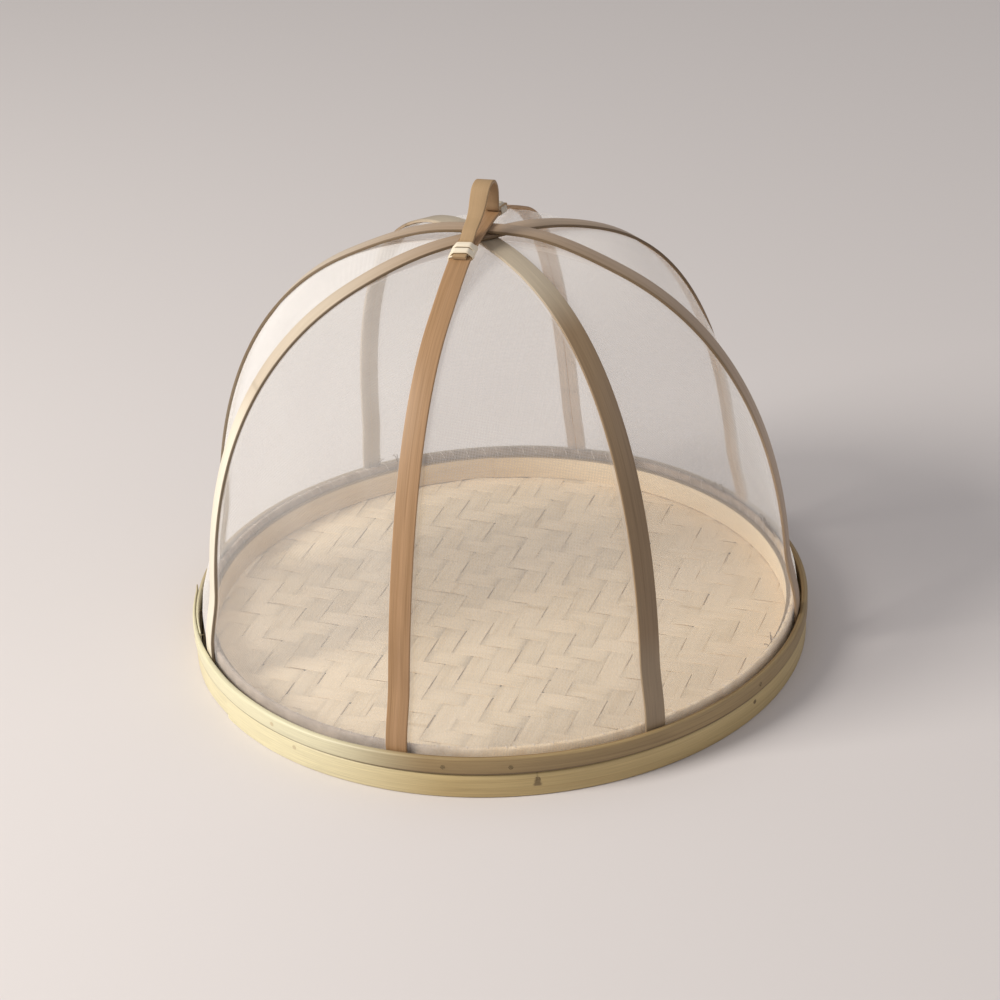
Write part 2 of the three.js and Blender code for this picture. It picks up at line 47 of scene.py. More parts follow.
# Every length is in metres. Azimuths are in degrees from the front (-Y) towards +X. A lap is
# the azimuth of a hoop's outer tip, and a lit azimuth that of the side painted lightest, as
# the lamp's light falling on it.
TRAY_RADIUS = 0.160
TRAY_HOOP_THICKNESS = 0.0032
TRAY_HOOP_HEIGHT = 0.0129
TRAY_LAP = -60
TRAY_LIT_AZIMUTH = -55
BUD_SCAR = 0.8653
LAP_DEGREES = 18
LAP_RAMP_DEGREES = 12
LAP_TIP_SHARE = 0.25
LAP_GAP = 0.00025
SPRUNG_DEGREES = 2.5
STEPS_PER_DEGREE = 2
STRIP_OFFSET = 0.37
CREASE_DEGREES = 38


def colour(code):
    """A linear colour from an sRGB hex code."""
    parts = [int(code[i:i + 2], 16) / 255 for i in (1, 3, 5)]
    return [p / 12.92 if p <= 0.04045 else ((p + 0.055) / 1.055) ** 2.4 for p in parts] + [1]


def fill(tree, node, inputs):
    """Fills a node's inputs with values, or with links from sockets and nodes."""
    for key, value in inputs.items():
        if isinstance(value, bpy.types.Node):
            value = value.outputs[0]
        if isinstance(value, bpy.types.NodeSocket):
            tree.links.new(value, node.inputs[key])
        else:
            node.inputs[key].default_value = value


def put(tree, kind, inputs=None, **settings):
    """Adds a node with its settings and inputs."""
    made = tree.nodes.new(kind)
    for key, value in settings.items():
        setattr(made, key, value)
    fill(tree, made, inputs or {})
    return made


def maths(tree, operation, *values):
    return put(tree, "ShaderNodeMath", dict(enumerate(values)), operation=operation)


def scaled(tree, vector, factor):
    return put(tree, "ShaderNodeVectorMath", {0: vector, "Scale": factor}, operation="SCALE")


def remap(tree, value, low, high, start=0, end=1, **settings):
    """Turns values from low to high into values from start to end."""
    return put(tree, "ShaderNodeMapRange", {
        "Value": value, "From Min": low, "From Max": high, "To Min": start, "To Max": end},
        **settings)


def blend(tree, share, first, second):
    """A mix of two colours, each a hex code or a socket."""
    pair = [colour(tone) if isinstance(tone, str) else tone for tone in (first, second)]
    made = put(tree, "ShaderNodeMix", {0: share, 6: pair[0], 7: pair[1]}, data_type="RGBA")
    return made.outputs[2]


def noise(tree, where, scale, detail, **inputs):
    return put(tree, "ShaderNodeTexNoise",
               {"Vector": where, "Scale": scale, "Detail": detail, **inputs})


def attribute(tree, name, output="Fac"):
    return put(tree, "ShaderNodeAttribute", attribute_name=name).outputs[output]


def new_material(name):
    material = bpy.data.materials.new(name)
    material.use_nodes = True
    return material, material.node_tree, material.node_tree.nodes["Principled BSDF"]


def new_group(name, inputs, output):
    """A Geometry Nodes tree, and the sockets that bring its inputs in."""
    tree = bpy.data.node_groups.new(name, "GeometryNodeTree")
    for label, kind in inputs:
        tree.interface.new_socket(label, in_out="INPUT", socket_type="NodeSocket" + kind)
    tree.interface.new_socket(output, in_out="OUTPUT", socket_type="NodeSocketGeometry")
    return tree, put(tree, "NodeGroupInput").outputs


def into_scene(name, data):
    piece = bpy.data.objects.new(name, data)
    bpy.context.scene.collection.objects.link(piece)
    return piece


def store(mesh, label, values):
    """Gives the points of a mesh an attribute of vectors or of numbers."""
    if isinstance(values[0], Vector):
        layer = mesh.attributes.new(label, "FLOAT_VECTOR", "POINT")
        layer.data.foreach_set("vector", [x for vector in values for x in vector])
    else:
        layer = mesh.attributes.new(label, "FLOAT", "POINT")
        layer.data.foreach_set("value", values)


def around(radius, azimuth, z=0.0):
    angle = math.radians(azimuth)
    return Vector((radius * math.sin(angle), -radius * math.cos(angle), z))


def smooth(value, low, high):
    share = min(1, max(0, (value - low) / (high - low)))
    return share * share * (3 - 2 * share)


def mix(low, high, share):
    return low + (high - low) * share


# Geometry Nodes: sweeps a flat strip with rounded edges along every line of a mesh. Each
# point of a line holds its centre, the way across the strip, the way its face looks, and how
# much wider or thicker than usual it is. The swept face keeps where it is on the strip in
# "grain": metres along it, across it and into it.
tree, given = new_group("strip along a line", (
    ("Lines", "Geometry"), ("Width", "Float"), ("Thickness", "Float"), ("Edge Round", "Float"),
    ("Round Steps", "Int"), ("Material", "Material")), "Strips")
lines = put(tree, "GeometryNodeMeshToCurve", {"Mesh": given["Lines"]})
section = put(tree, "GeometryNodeCurvePrimitiveQuadrilateral",
              {"Width": given["Width"], "Height": given["Thickness"]})
section = put(tree, "GeometryNodeFilletCurve", {
    "Curve": section, "Count": given["Round Steps"], "Radius": given["Edge Round"],
    "Limit Radius": True}, mode="POLY")
spot = put(tree, "ShaderNodeSeparateXYZ", {0: put(tree, "GeometryNodeInputPosition")})
for label, socket in (("aside", spot.outputs[0]), ("deep", spot.outputs[1])):
    section = put(tree, "GeometryNodeStoreNamedAttribute",
                  {"Geometry": section, "Name": label, "Value": socket},
                  data_type="FLOAT", domain="POINT")
swept = put(tree, "GeometryNodeCurveToMesh",
            {"Curve": lines, "Profile Curve": section, "Fill Caps": True})
reading = {
    label: put(tree, "GeometryNodeInputNamedAttribute", {"Name": label}, data_type=kind)
    for kind, labels in (("FLOAT_VECTOR", ("centre", "across", "facing")),
                         ("FLOAT", ("wide", "thick", "along", "aside", "deep")))
    for label in labels}
sideways = maths(tree, "MULTIPLY", reading["aside"], reading["wide"])
proud = maths(tree, "MULTIPLY", reading["deep"], reading["thick"])
place = reading["centre"]
for way, distance in (("across", sideways), ("facing", proud)):
    place = put(tree, "ShaderNodeVectorMath", {
        0: place, 1: scaled(tree, reading[way], distance)}, operation="ADD")
swept = put(tree, "GeometryNodeSetPosition", {"Geometry": swept, "Position": place})
grain = put(tree, "ShaderNodeCombineXYZ", {0: reading["along"], 1: sideways, 2: proud})
swept = put(tree, "GeometryNodeStoreNamedAttribute",
            {"Geometry": swept, "Name": "grain", "Value": grain},
            data_type="FLOAT_VECTOR", domain="POINT")
swept = put(tree, "GeometryNodeSetShadeSmooth", {"Geometry": swept, "Shade Smooth": True})
swept = put(tree, "GeometryNodeRealizeInstances", {"Geometry": swept})
swept = put(tree, "GeometryNodeSetMaterial", {"Geometry": swept, "Material": given["Material"]})
put(tree, "NodeGroupOutput", {"Strips": swept})
strip_tree = tree


def grow(name, start, tree, **values):
    """Runs a Geometry Nodes tree on a mesh and keeps the result as a plain mesh."""
    piece = into_scene(name, start)
    modifier = piece.modifiers.new(name, "NODES")
    modifier.node_group = tree
    for socket in tree.interface.items_tree:
        if socket.in_out == "INPUT" and socket.name in values:
            modifier[socket.identifier] = values[socket.name]
    bpy.context.view_layer.update()
    seen = piece.evaluated_get(bpy.context.evaluated_depsgraph_get())
    mesh = bpy.data.meshes.new_from_object(seen)
    piece.modifiers.clear()
    piece.data = mesh
    mesh.name = name
    for label in reading:
        if label in mesh.attributes:
            mesh.attributes.remove(mesh.attributes[label])
    volume = 0.0
    mesh.calc_loop_triangles()
    for triangle in mesh.loop_triangles:
        a, b, c = (mesh.vertices[i].co for i in triangle.vertices)
        volume += a.dot(b.cross(c))
    if volume < 0:
        mesh.flip_normals()
    mesh.set_sharp_from_angle(angle=math.radians(CREASE_DEGREES))
    return piece


def guide(name, strips):
    """A mesh of lines for the strip tree, from stations (centre, across, facing, wide, thick)
    and the tint of each strip: one value, or one for each station."""
    mesh = bpy.data.meshes.new(name)
    stations = [station for strip, tint in strips for station in strip]
    edges, first = [], 0
    for strip, tint in strips:
        edges += [(first + i, first + i + 1) for i in range(len(strip) - 1)]
        first += len(strip)
    mesh.from_pydata([station[0] for station in stations], edges, [])
    for index, label in enumerate(("centre", "across", "facing", "wide", "thick")):
        store(mesh, label, [station[index] for station in stations])
    lengths, tints = [], []
    for number, (strip, tint) in enumerate(strips):
        reached = STRIP_OFFSET * number
        for i, station in enumerate(strip):
            reached += (station[0] - strip[i - 1][0]).length if i else 0
            lengths.append(reached)
            tints.append(tint[i] if isinstance(tint, list) else tint)
    store(mesh, "along", lengths)
    store(mesh, "tint", tints)
    return mesh


def strips_along(name, strips, width, thickness, edge, steps, material):
    """A piece of one or more strips. edge is how round their edges are, in that many steps."""
    return grow(name, guide(name, strips), strip_tree, **{
        "Width": width, "Thickness": thickness, "Edge Round": edge, "Round Steps": steps,
        "Material": material})


def hoop_line(radii, span, lap, sway=0.0, spring=0.0):
    """Stations of a bent hoop. Both ends are shaved to a tip, so that the lap is no thicker
    than the hoop. sway lets the top edge rise and fall, and spring stands the tip proud."""
    (inner, outer), (bottom, top) = radii, span
    thickness = outer - inner
    tip = thickness * LAP_TIP_SHARE
    full = thickness - tip - LAP_GAP
    split = thickness - tip - full
    stations = []
    for step in range(STEPS_PER_DEGREE * (360 + LAP_DEGREES) + 1):
        turned = step / STEPS_PER_DEGREE
        over = turned - 360
        low, high = inner, outer
        if turned <= LAP_DEGREES:
            high = inner + mix(tip, full, turned / LAP_DEGREES)
        elif turned < LAP_DEGREES + LAP_RAMP_DEGREES:
            high = mix(inner + full, outer, (turned - LAP_DEGREES) / LAP_RAMP_DEGREES)
        if over >= 0:
            low = inner + split + mix(tip, full, over / LAP_DEGREES)
        elif over > -LAP_RAMP_DEGREES:
            low = mix(inner, inner + split + tip, (over + LAP_RAMP_DEGREES) / LAP_RAMP_DEGREES)
        loose = spring * smooth(over, LAP_DEGREES - SPRUNG_DEGREES, LAP_DEGREES) if over > 0 else 0
        azimuth = lap + LAP_DEGREES - turned
        angle = math.radians(azimuth)
        rise = sway * (math.sin(3 * angle + 1) + 0.6 * math.sin(7 * angle + 2.2)
                       + 0.4 * math.sin(13 * angle)) / 2
        height = top - bottom + rise
        stations.append((
            around((low + high) / 2 + loose, azimuth, bottom + height / 2), Vector((0, 0, 1)),
            around(1, azimuth), height / (top - bottom), (high - low) / thickness))
    return stations


def painted_light_tints(stations, amount, lit_side, start, end, shade=0.05):
    """Tints of painted light: lighter towards the side that faces the lamp, a little darker on
    the far side as painted shade. start and end are how far out to that side the painted light
    sets in and is full."""
    side = around(1, lit_side)
    shares = [station[0].dot(side) / TRAY_RADIUS for station in stations]
    return [amount * smooth(share, start, end) + shade * min(0, share) for share in shares]


def hoop(name, radii, span, lap, edge, steps, material, tint=0.0, lit_side=None, **bends):
    """A hoop of one tint, or with painted light and shade: its amount, azimuth, start and end."""
    stations = hoop_line(radii, span, lap, **bends)
    return strips_along(name, [(stations, painted_light_tints(stations, *lit_side) if lit_side else tint)],
                        span[1] - span[0], radii[1] - radii[0], edge, steps, material)


def bamboo(name, skin, flesh, streak, roughness=0.45, joints=0.31, shift=0.0, stain=0.25,
           grainy=0.5, pale_and_lit_colour="#f6f2e2", dark_edge=None, edge_start=None, scar=None):
    """Split bamboo: long fibres with thin darker vascular strands, a glossier skin on the
    outer face, raw flesh on the others, and a joint ring now and then. The pale colour is
    what a positive tint turns it towards: painted light on the lit side, and on the mat also
    paler splints. dark_edge is how far across the strip a darker edge lies, edge_start how
    far along it that begins, and scar how far along a triangular bud scar sits."""
    material, tree, shader = new_material(name)
    where = attribute(tree, "grain", "Vector")
    tint = attribute(tree, "tint")
    along, aside, deep = put(tree, "ShaderNodeSeparateXYZ", {0: where}).outputs
    # Fibres 0.35 mm wide and 25 mm long, strands 1.1 mm and 90 mm, bands 4 mm and 300 mm,
    # blotches 9 mm and 50 mm.
    noises = []
    for wide, length, detail in ((0.00035, 0.025, 2), (0.0011, 0.09, 2), (0.004, 0.3, 2),
                                 (0.009, 0.05, 3)):
        stretched = put(tree, "ShaderNodeMapping", {
            "Vector": where, "Scale": (1 / length, 1 / wide, 1 / wide),
            "Location": (shift, shift, 0)})
        noises.append(noise(tree, stretched, 1, detail, Roughness=0.55))
    fibres, strands, bands, blotches = noises
    # The skin is the outer half of the strip's thickness.
    outside = remap(tree, deep, -0.0001, 0.0002)
    base = blend(tree, outside, flesh, skin)
    # A joint is a ring 4 mm wide where the culm had its wall.
    away = maths(tree, "PINGPONG", maths(tree, "ADD", along, shift * joints), joints)
    ring = remap(tree, away, 0, 0.0022, 1, 0, interpolation_type="SMOOTHSTEP")
    for pattern, low, high, most in (
            (bands, 0.48, 0.7, 0.6 * grainy), (strands, 0.52, 0.72, grainy),
            (blotches, 0.5, 0.78, stain), (ring, 0, 1, 0.55)):
        base = blend(tree, remap(tree, pattern, low, high, 0, most), base, streak)
    if scar is not None:
        # The scar is 5 mm wide at its foot, less than 1 mm at 6 mm up, and ragged along fibres.
        away = maths(tree, "ABSOLUTE", maths(tree, "ADD", along, -scar))
        reach = remap(tree, aside, -0.0006, 0.006, 0.0024, 0.0004)
        ragged = remap(tree, fibres, 0.3, 0.7, -0.0006, 0.0006)
        inside = maths(tree, "ADD", maths(tree, "SUBTRACT", reach, away), ragged)
        inside = maths(tree, "MULTIPLY", remap(tree, inside, 0, 0.0009),
                       remap(tree, aside, -0.0012, -0.0004))
        base = blend(tree, maths(tree, "MULTIPLY", inside, 0.7), base, "#4f3d26")
    # A positive tint turns it towards the pale colour and a negative one darkens it: painted
    # light and painted shade on the hoops, strips, lip and cane, and on the mat also paler and
    # darker splints.
    base = blend(tree, tint, base, pale_and_lit_colour)
    if dark_edge is not None:
        # The dark edge fades out over 0.7 mm, and sets in over 60 mm. On the ring and the arched
        # strips it is painted shade; on the lip it is a darker top edge.
        inwards = math.copysign(1, -dark_edge)
        edge_darkness = remap(tree, aside, dark_edge + 0.0008 * inwards, dark_edge + 0.0001 * inwards,
                    0, 0.85)
        if edge_start is not None:
            edge_darkness = maths(tree, "MULTIPLY", edge_darkness,
                        remap(tree, along, edge_start - 0.03, edge_start + 0.03))
        base = blend(tree, edge_darkness, base, "#665238")
    grey = remap(tree, fibres, 0.3, 0.7, 1 - 0.26 * grainy, 1 + 0.2 * grainy)
    shade = maths(tree, "ADD", grey, maths(tree, "MINIMUM", tint, 0.0))
    gloss = remap(tree, outside, 0, 1, min(1, roughness + 0.3), roughness)
    gloss = maths(tree, "ADD", gloss, remap(tree, fibres, 0, 1, -0.08, 0.12))
    height = maths(tree, "MULTIPLY_ADD", ring, 3.0, maths(tree, "ADD", fibres, strands))
    fill(tree, shader, {
        "Base Color": scaled(tree, base, shade), "Roughness": gloss, "IOR": 1.5,
        "Normal": put(tree, "ShaderNodeBump", {
            "Strength": 0.35, "Distance": 0.00012, "Height": height})})
    return material


# Green-gold skin over straw-coloured flesh, painted pale where the lamp's light falls on it.
pale_bamboo = bamboo("faded bamboo skin", "#c0aa7a", "#b89f74", "#a08759", 0.42, shift=0.4,
                     pale_and_lit_colour="#f7f5d6", scar=BUD_SCAR)
# Painted lighter on the left front as the lamp's light, a little darker on the far side as shade.
outer_hoop = hoop("outer_hoop", (TRAY_RADIUS - TRAY_HOOP_THICKNESS, TRAY_RADIUS),
                  (0, TRAY_HOOP_HEIGHT), TRAY_LAP, edge=0.0011, steps=4, material=pale_bamboo,
                  lit_side=(0.52, TRAY_LIT_AZIMUTH, 0.68, 1))
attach(outer_hoop, "tray")
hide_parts("tray_outer_hoop")


# ---- Woven floor ----
# Flat splints of bamboo flesh, plaited over two and under two, so that the weave steps along
# a slant. The mat was trimmed round and its edge pressed up between the hoops.

SPLINT_WIDTH = 0.0113
SPLINT_THICKNESS = 0.0004
SPLINT_GAP = 0.00015
SPLINT_TURN = -20
SPLINT_SPARE = 0.0006
SHORTEST_CUT = 0.004
STEPS_PER_SPLINT = 4
CROSSINGS = 80
MAT_MIDDLE = 0.00572
MAT_LAY = 0.00028
MAT_BEND_RADIUS = 0.1559
MAT_BEND = 0.001
MAT_RIM = 0.0046


def splint_lines():
    rng = random.Random(11)
    turn = math.radians(SPLINT_TURN)
    reach = MAT_BEND_RADIUS + MAT_RIM + SPLINT_SPARE
    count = int(reach / SPLINT_WIDTH) + 1
    strips = []
    for weft in (0, 1):
        run = Vector((-math.sin(turn), math.cos(turn), 0))
        side = Vector((math.cos(turn), math.sin(turn), 0))
        if weft:
            run, side = side, run
        for number in range(-count, count + 1):
            offset = (number + 0.5 + rng.uniform(-0.03, 0.03)) * SPLINT_WIDTH
            width = rng.uniform(0.975, 1.0)
            skew = rng.uniform(-0.006, 0.006)
            tint = rng.uniform(-0.08, 0.06) + (0.03 if weft else -0.03)
            floats = [rng.uniform(-0.08, 0.10) for unused in range(CROSSINGS)]
            tilts = [rng.uniform(-0.03, 0.03) for unused in range(CROSSINGS)]
            if abs(offset) > reach - SHORTEST_CUT:
                continue
            half = math.sqrt(reach * reach - offset * offset)
            steps = int(2 * half / (SPLINT_WIDTH / STEPS_PER_SPLINT))
            line, tints = [], []
            for i in range(steps + 1):
                s = mix(-half, half, i / steps)
                cell = s / SPLINT_WIDTH - 0.5
                low = math.floor(cell)
                # Over two and under two: a bow over each pair of crossings, and the other
                # set bows the opposite way.
                phase = (number - cell if weft else cell - number) * math.pi / 2
                level = math.sin(phase + math.pi / 4) * (1 if weft else -1)
                slope = math.cos(phase + math.pi / 4) * math.pi / 2 * MAT_LAY / SPLINT_WIDTH
                level = math.copysign(abs(level) ** 0.6, level)
                share = smooth(cell - low, 0.2, 0.8)
                centre = run * s + side * (offset + skew * s) + Vector((0, 0, MAT_LAY * level))
                facing = (Vector((0, 0, 1)) + run * slope).normalized()
                across = side.copy()
                across.z = mix(tilts[low % CROSSINGS], tilts[(low + 1) % CROSSINGS], share)
                across.normalize()
                line.append((centre, across, facing, width, 1.0))
                # Painted light: the right of the mat is lighter, as light falling there, and each
                # float is lighter where it bows up and darker where it dips, as light and shade.
                tints.append(tint + floats[math.floor(phase / math.pi + 0.25) % CROSSINGS]
                             + 0.25 * smooth(centre.x, 0.03, 0.13)
                             + (0.42 if weft else 0.12) * (max(0, level) - 0.6))
            strips.append((line, tints))
    return strips


# Dry, dull bamboo flesh, cream with tan streaks; every splint has its own shade.
splint_bamboo = bamboo("split bamboo flesh", "#ecd9bc", "#e0cba8", "#c4a87c", 0.62,
                       joints=0.43, shift=0.7, stain=0.3, grainy=0.25, pale_and_lit_colour="#ffe9cb")
mat = strips_along("twill_mat", splint_lines(), SPLINT_WIDTH - SPLINT_GAP, SPLINT_THICKNESS,
                   edge=0.00016, steps=1, material=splint_bamboo)
bend_start = MAT_BEND_RADIUS - MAT_BEND
bend_length = MAT_BEND * math.pi / 2
for vertex in mat.data.vertices:
    # Trims the flat mat to a round and presses its edge up.
    flat = Vector((vertex.co.x, vertex.co.y))
    radius = min(flat.length, bend_start + bend_length + MAT_RIM)
    past = radius - bend_start
    lay = vertex.co.z
    reached, height = radius, MAT_MIDDLE + lay
    if past > 0:
        bent = min(past / MAT_BEND, math.pi / 2)
        reached = bend_start + (MAT_BEND - lay) * math.sin(bent)
        height = MAT_MIDDLE + MAT_BEND - (MAT_BEND - lay) * math.cos(bent)
        height += max(0, past - bend_length)
    flat = flat.normalized() * reached
    vertex.co = (flat.x, flat.y, height)
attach(mat, "tray")
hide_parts("woven_floor")


# ---- Tray, inner hoops ----
# The clamp hoop presses the mat's edge against the outer hoop, and the taller lip hoop inside
# it is what the cover drops over. Both are plain split bamboo with the flesh showing.

LIP_TOP = 0.0204
INNER_SEAT = 0.0066
CLAMP_RADII = (0.15205, 0.1550)
CLAMP_LAP = -150
LIP_RADII = (0.1496, 0.1518)
LIP_LAP = 162
LIP_LIT_AZIMUTH = 116
LIP_DARK_EDGE = 0.0004

# Raw inner bamboo, warm tan, with shallow cracks along the fibres.
tan_bamboo = bamboo("raw bamboo flesh", "#dac29e", "#dac29e", "#ad9069", 0.58, shift=0.15,
                    stain=0.35, grainy=0.35)
# The lip's is the same, with a darker top edge.
lip_bamboo = bamboo("raw bamboo flesh with a darker top edge", "#dac29e", "#dac29e", "#ad9069",
                    0.58, shift=0.15, stain=0.35, grainy=0.35, pale_and_lit_colour="#ffedcf",
                    dark_edge=(LIP_TOP - INNER_SEAT) / 2 - LIP_DARK_EDGE)
clamp_hoop = hoop("clamp_hoop", CLAMP_RADII, (INNER_SEAT, TRAY_HOOP_HEIGHT), CLAMP_LAP,
                  edge=0.0004, steps=3, material=tan_bamboo, tint=-0.02)
# The lip is painted lighter on the back right, where the lamp's light falls on its inner face.
lip_hoop = hoop("lip_hoop", LIP_RADII, (INNER_SEAT, LIP_TOP), LIP_LAP, edge=0.0005, steps=3,
                material=lip_bamboo, lit_side=(0.92, LIP_LIT_AZIMUTH, 0.4, 0.9), sway=0.0005)
for piece, node in ((clamp_hoop, "tray_clamp_hoop"), (lip_hoop, "tray_lip_hoop")):
    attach(piece, "tray")
    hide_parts(node)


# ---- Tray, brads ----
# Short wire brads, driven through the hoops from outside until their heads are flush. The
# heads have dulled and rusted brown, and on the lit left they are painted as pale as the
# bamboo, as the lamp's light on them.

BRAD_HEAD = 0.0012
BRAD_TIP = 0.0001
TRAY_BRAD_LENGTH = 0.0098
TRAY_BRAD_HEIGHT = 0.0094
TRAY_BRAD_AZIMUTHS = [5 + 45 * i for i in range(8)]

# Geometry Nodes: stands a brad on each point, pointing inwards along the point's "facing".
tree, given = new_group("brads in a hoop", (
    ("Points", "Geometry"), ("Head Radius", "Float"), ("Length", "Float"),
    ("Material", "Material")), "Brads")
head_depth = maths(tree, "MULTIPLY", given["Head Radius"], 0.33)
head = put(tree, "GeometryNodeMeshCylinder", {
    "Vertices": 20, "Radius": given["Head Radius"], "Depth": head_depth})
shank = put(tree, "GeometryNodeMeshCone", {
    "Vertices": 12, "Radius Top": maths(tree, "MULTIPLY", given["Head Radius"], 0.5),
    "Radius Bottom": BRAD_TIP, "Depth": given["Length"]})
brad = put(tree, "GeometryNodeJoinGeometry")
for part, size, share in ((head, head_depth, -0.35), (shank, given["Length"], -1.0)):
    lower = put(tree, "ShaderNodeCombineXYZ", {2: maths(tree, "MULTIPLY", size, share)})
    part = put(tree, "GeometryNodeTransform", {"Geometry": part, "Translation": lower})
    fill(tree, brad, {0: part})
turn = put(tree, "FunctionNodeAlignRotationToVector", {
    "Vector": put(tree, "GeometryNodeInputNamedAttribute", {"Name": "facing"},
                  data_type="FLOAT_VECTOR")}, axis="Z")
brads = put(tree, "GeometryNodeInstanceOnPoints", {
    "Points": given["Points"], "Instance": brad, "Rotation": turn})
brads = put(tree, "GeometryNodeRealizeInstances", {"Geometry": brads})
brads = put(tree, "GeometryNodeSetMaterial", {"Geometry": brads, "Material": given["Material"]})
put(tree, "NodeGroupOutput", {"Brads": brads})
brad_tree = tree


def object_place(tree):
    return put(tree, "ShaderNodeTexCoord").outputs["Object"]


# Mild steel wire, dull grey-brown with rust in the pits of 0.4 mm.
brad_steel, tree, shader = new_material("dulled steel wire")
rusted = remap(tree, noise(tree, object_place(tree), 2500, 3), 0.42, 0.6)
tone = blend(tree, rusted, "#8b795a", "#6f5d41")
# A positive tint paints the heads pale, as light falling on them.
fill(tree, shader, {
    "Base Color": blend(tree, attribute(tree, "tint"), tone, "#d3c6a6"),
    "Roughness": remap(tree, rusted, 0, 1, 0.42, 0.8), "Metallic": 0.4})


def brads_in(name, radius, height, azimuths, length):
    mesh = bpy.data.meshes.new(name)
    mesh.from_pydata([around(radius, azimuth, height) for azimuth in azimuths], [], [])
    outwards = [around(1, azimuth) for azimuth in azimuths]
    store(mesh, "facing", outwards)
    # Heads that face the lamp are painted pale, as light on them.
    store(mesh, "tint", [smooth(way.dot(around(1, TRAY_LIT_AZIMUTH)), 0.76, 0.93) for way in outwards])
    return grow(name, mesh, brad_tree, **{
        "Head Radius": BRAD_HEAD, "Length": length, "Material": brad_steel})


tray_brads = brads_in("tray_brads", TRAY_RADIUS, TRAY_BRAD_HEIGHT, TRAY_BRAD_AZIMUTHS,
                      TRAY_BRAD_LENGTH)
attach(tray_brads, "tray")
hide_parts(*[f"tray_brad_{i + 1}" for i in range(8)])


# ---- Cover, ring hoops ----
# Two hoops that squeeze the feet of the strips and the edge of the netting between them. The
# outer one is older, olive-brown bamboo, and its shaved end has sprung away a little.

RING_RADII = (0.1574, 0.1606)
RING_SPAN = (0.0131, 0.0222)
RING_LAP = -96
RING_LIT_AZIMUTH = -60
RING_DARK_EDGE = 0.0007
INNER_HOOP_RADII = (0.1526, 0.1538)
INNER_HOOP_SPAN = (0.0136, 0.0236)
INNER_HOOP_LAP = 108

# Browned skin with a worn, waxy surface, painted darkest along its lower edge as shade in
# the gap above the tray hoop.
olive_bamboo = bamboo("browned bamboo skin", "#9d865f", "#907853", "#775f40", 0.45, shift=0.55,
                      stain=0.4, pale_and_lit_colour="#f7f5d6",
                      dark_edge=RING_DARK_EDGE - (RING_SPAN[1] - RING_SPAN[0]) / 2)
# Painted lighter on the left as the lamp's light, a little darker on the far side as shade.
cover_hoop = hoop("cover_hoop", RING_RADII, RING_SPAN, RING_LAP, edge=0.0011, steps=4,
                  material=olive_bamboo, lit_side=(0.64, RING_LIT_AZIMUTH, 0.67, 0.95), sway=0.0005,
                  spring=0.0008)
inner_hoop = hoop("inner_hoop", INNER_HOOP_RADII, INNER_HOOP_SPAN, INNER_HOOP_LAP, edge=0.0003,
                  steps=3, material=tan_bamboo)
for piece, node, finish in ((cover_hoop, "cover_outer_hoop", "bamboo_olive"),
                            (inner_hoop, "cover_inner_hoop", "bamboo_tan")):
    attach(piece, "cover")
    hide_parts(node)


# ---- Cover, four arched strips ----
# Each strip is one whole length of split bamboo over the top, skin outwards, bent by hand, so
# no two arches are alike. They cross in a pile at the top, and their feet stand in the ring.

RIB_WIDTH = 0.0105
RIB_THICKNESS = 0.0015
RIB_LIT_AZIMUTH = -85
RIB_DARK_EDGE_START = 0.13
RIB_STEPS = 64
DOME_RADIUS = 0.15283
DOME_HEIGHT = 0.2199
FOOT_RADIUS = 0.15693
FOOT_BOTTOM = 0.0136
FOOT_STATIONS = 4
GRIP_TOP = 0.0243
SPRING_HEIGHT = 0.0094
RADIAL_POWER = 2.28
HEIGHT_POWER = 2.6
LEAN_HEIGHT = 0.032
CROSSING_FLAT = 0.018
CROSSING_FADE = 0.070
LAYER_PITCH = 0.00195
FINE_STEPS = 600

# Azimuths of the two feet, the layer in the pile, and shares of the dome's radius by which
# each half bows sideways, stands above the round dome, and misses the middle.
ARCHES = {
    "rib_strip_a": ((-19.5, 162), 3, (0.028, 0.018), (0.03, 0.028), (-0.009, -0.012)),
    "rib_strip_b": ((27, 206.5), 0, (0.016, 0.016), (0.032, 0), (0.01, -0.008)),
    "rib_strip_c": ((76, 253), 2, (-0.004, 0.004), (-0.006, 0.012), (0.006, 0.015)),
    "rib_strip_d": ((119.5, 289), 1, (0.032, -0.034), (0.026, 0), (0.01, -0.012)),
}


def dome_profile(count):
    """Stations (radius, height, share of the way) from a foot to the crossing."""
    start = math.asin(((GRIP_TOP - SPRING_HEIGHT) / (DOME_HEIGHT - SPRING_HEIGHT))
                      ** (HEIGHT_POWER / 2))
    lead = FOOT_RADIUS - DOME_RADIUS * math.cos(start) ** (2 / RADIAL_POWER)
    fine = []
    for i in range(FINE_STEPS + 1):
        angle = mix(start, math.pi / 2, i / FINE_STEPS)
        z = SPRING_HEIGHT + (DOME_HEIGHT - SPRING_HEIGHT) * math.sin(angle) ** (2 / HEIGHT_POWER)
        lean = 1 - smooth(z, GRIP_TOP, GRIP_TOP + LEAN_HEIGHT)
        radius = 0 if i == FINE_STEPS else DOME_RADIUS * math.cos(angle) ** (2 / RADIAL_POWER)
        fine.append((radius + lead * lean, z))
    lengths = [0]
    for a, b in zip(fine, fine[1:]):
        lengths.append(lengths[-1] + math.dist(a, b))
    stations = [(FOOT_RADIUS, mix(FOOT_BOTTOM, GRIP_TOP, i / FOOT_STATIONS), 0)
                for i in range(FOOT_STATIONS)]
    j = 1
    for i in range(count + 1):
        wanted = lengths[-1] * i / count
        while lengths[j] < wanted and j < FINE_STEPS:
            j += 1
        share = (wanted - lengths[j - 1]) / (lengths[j] - lengths[j - 1])
        stations.append((mix(fine[j - 1][0], fine[j][0], share),
                         mix(fine[j - 1][1], fine[j][1], share), i / count))
    return stations


def along_ring(azimuth):
    angle = math.radians(azimuth)
    return Vector((math.cos(angle), math.sin(angle), 0))


def run_at(points, i):
    """The way a line of points runs at one of them."""
    return (points[min(len(points) - 1, i + 1)] - points[max(0, i - 1)]).normalized()


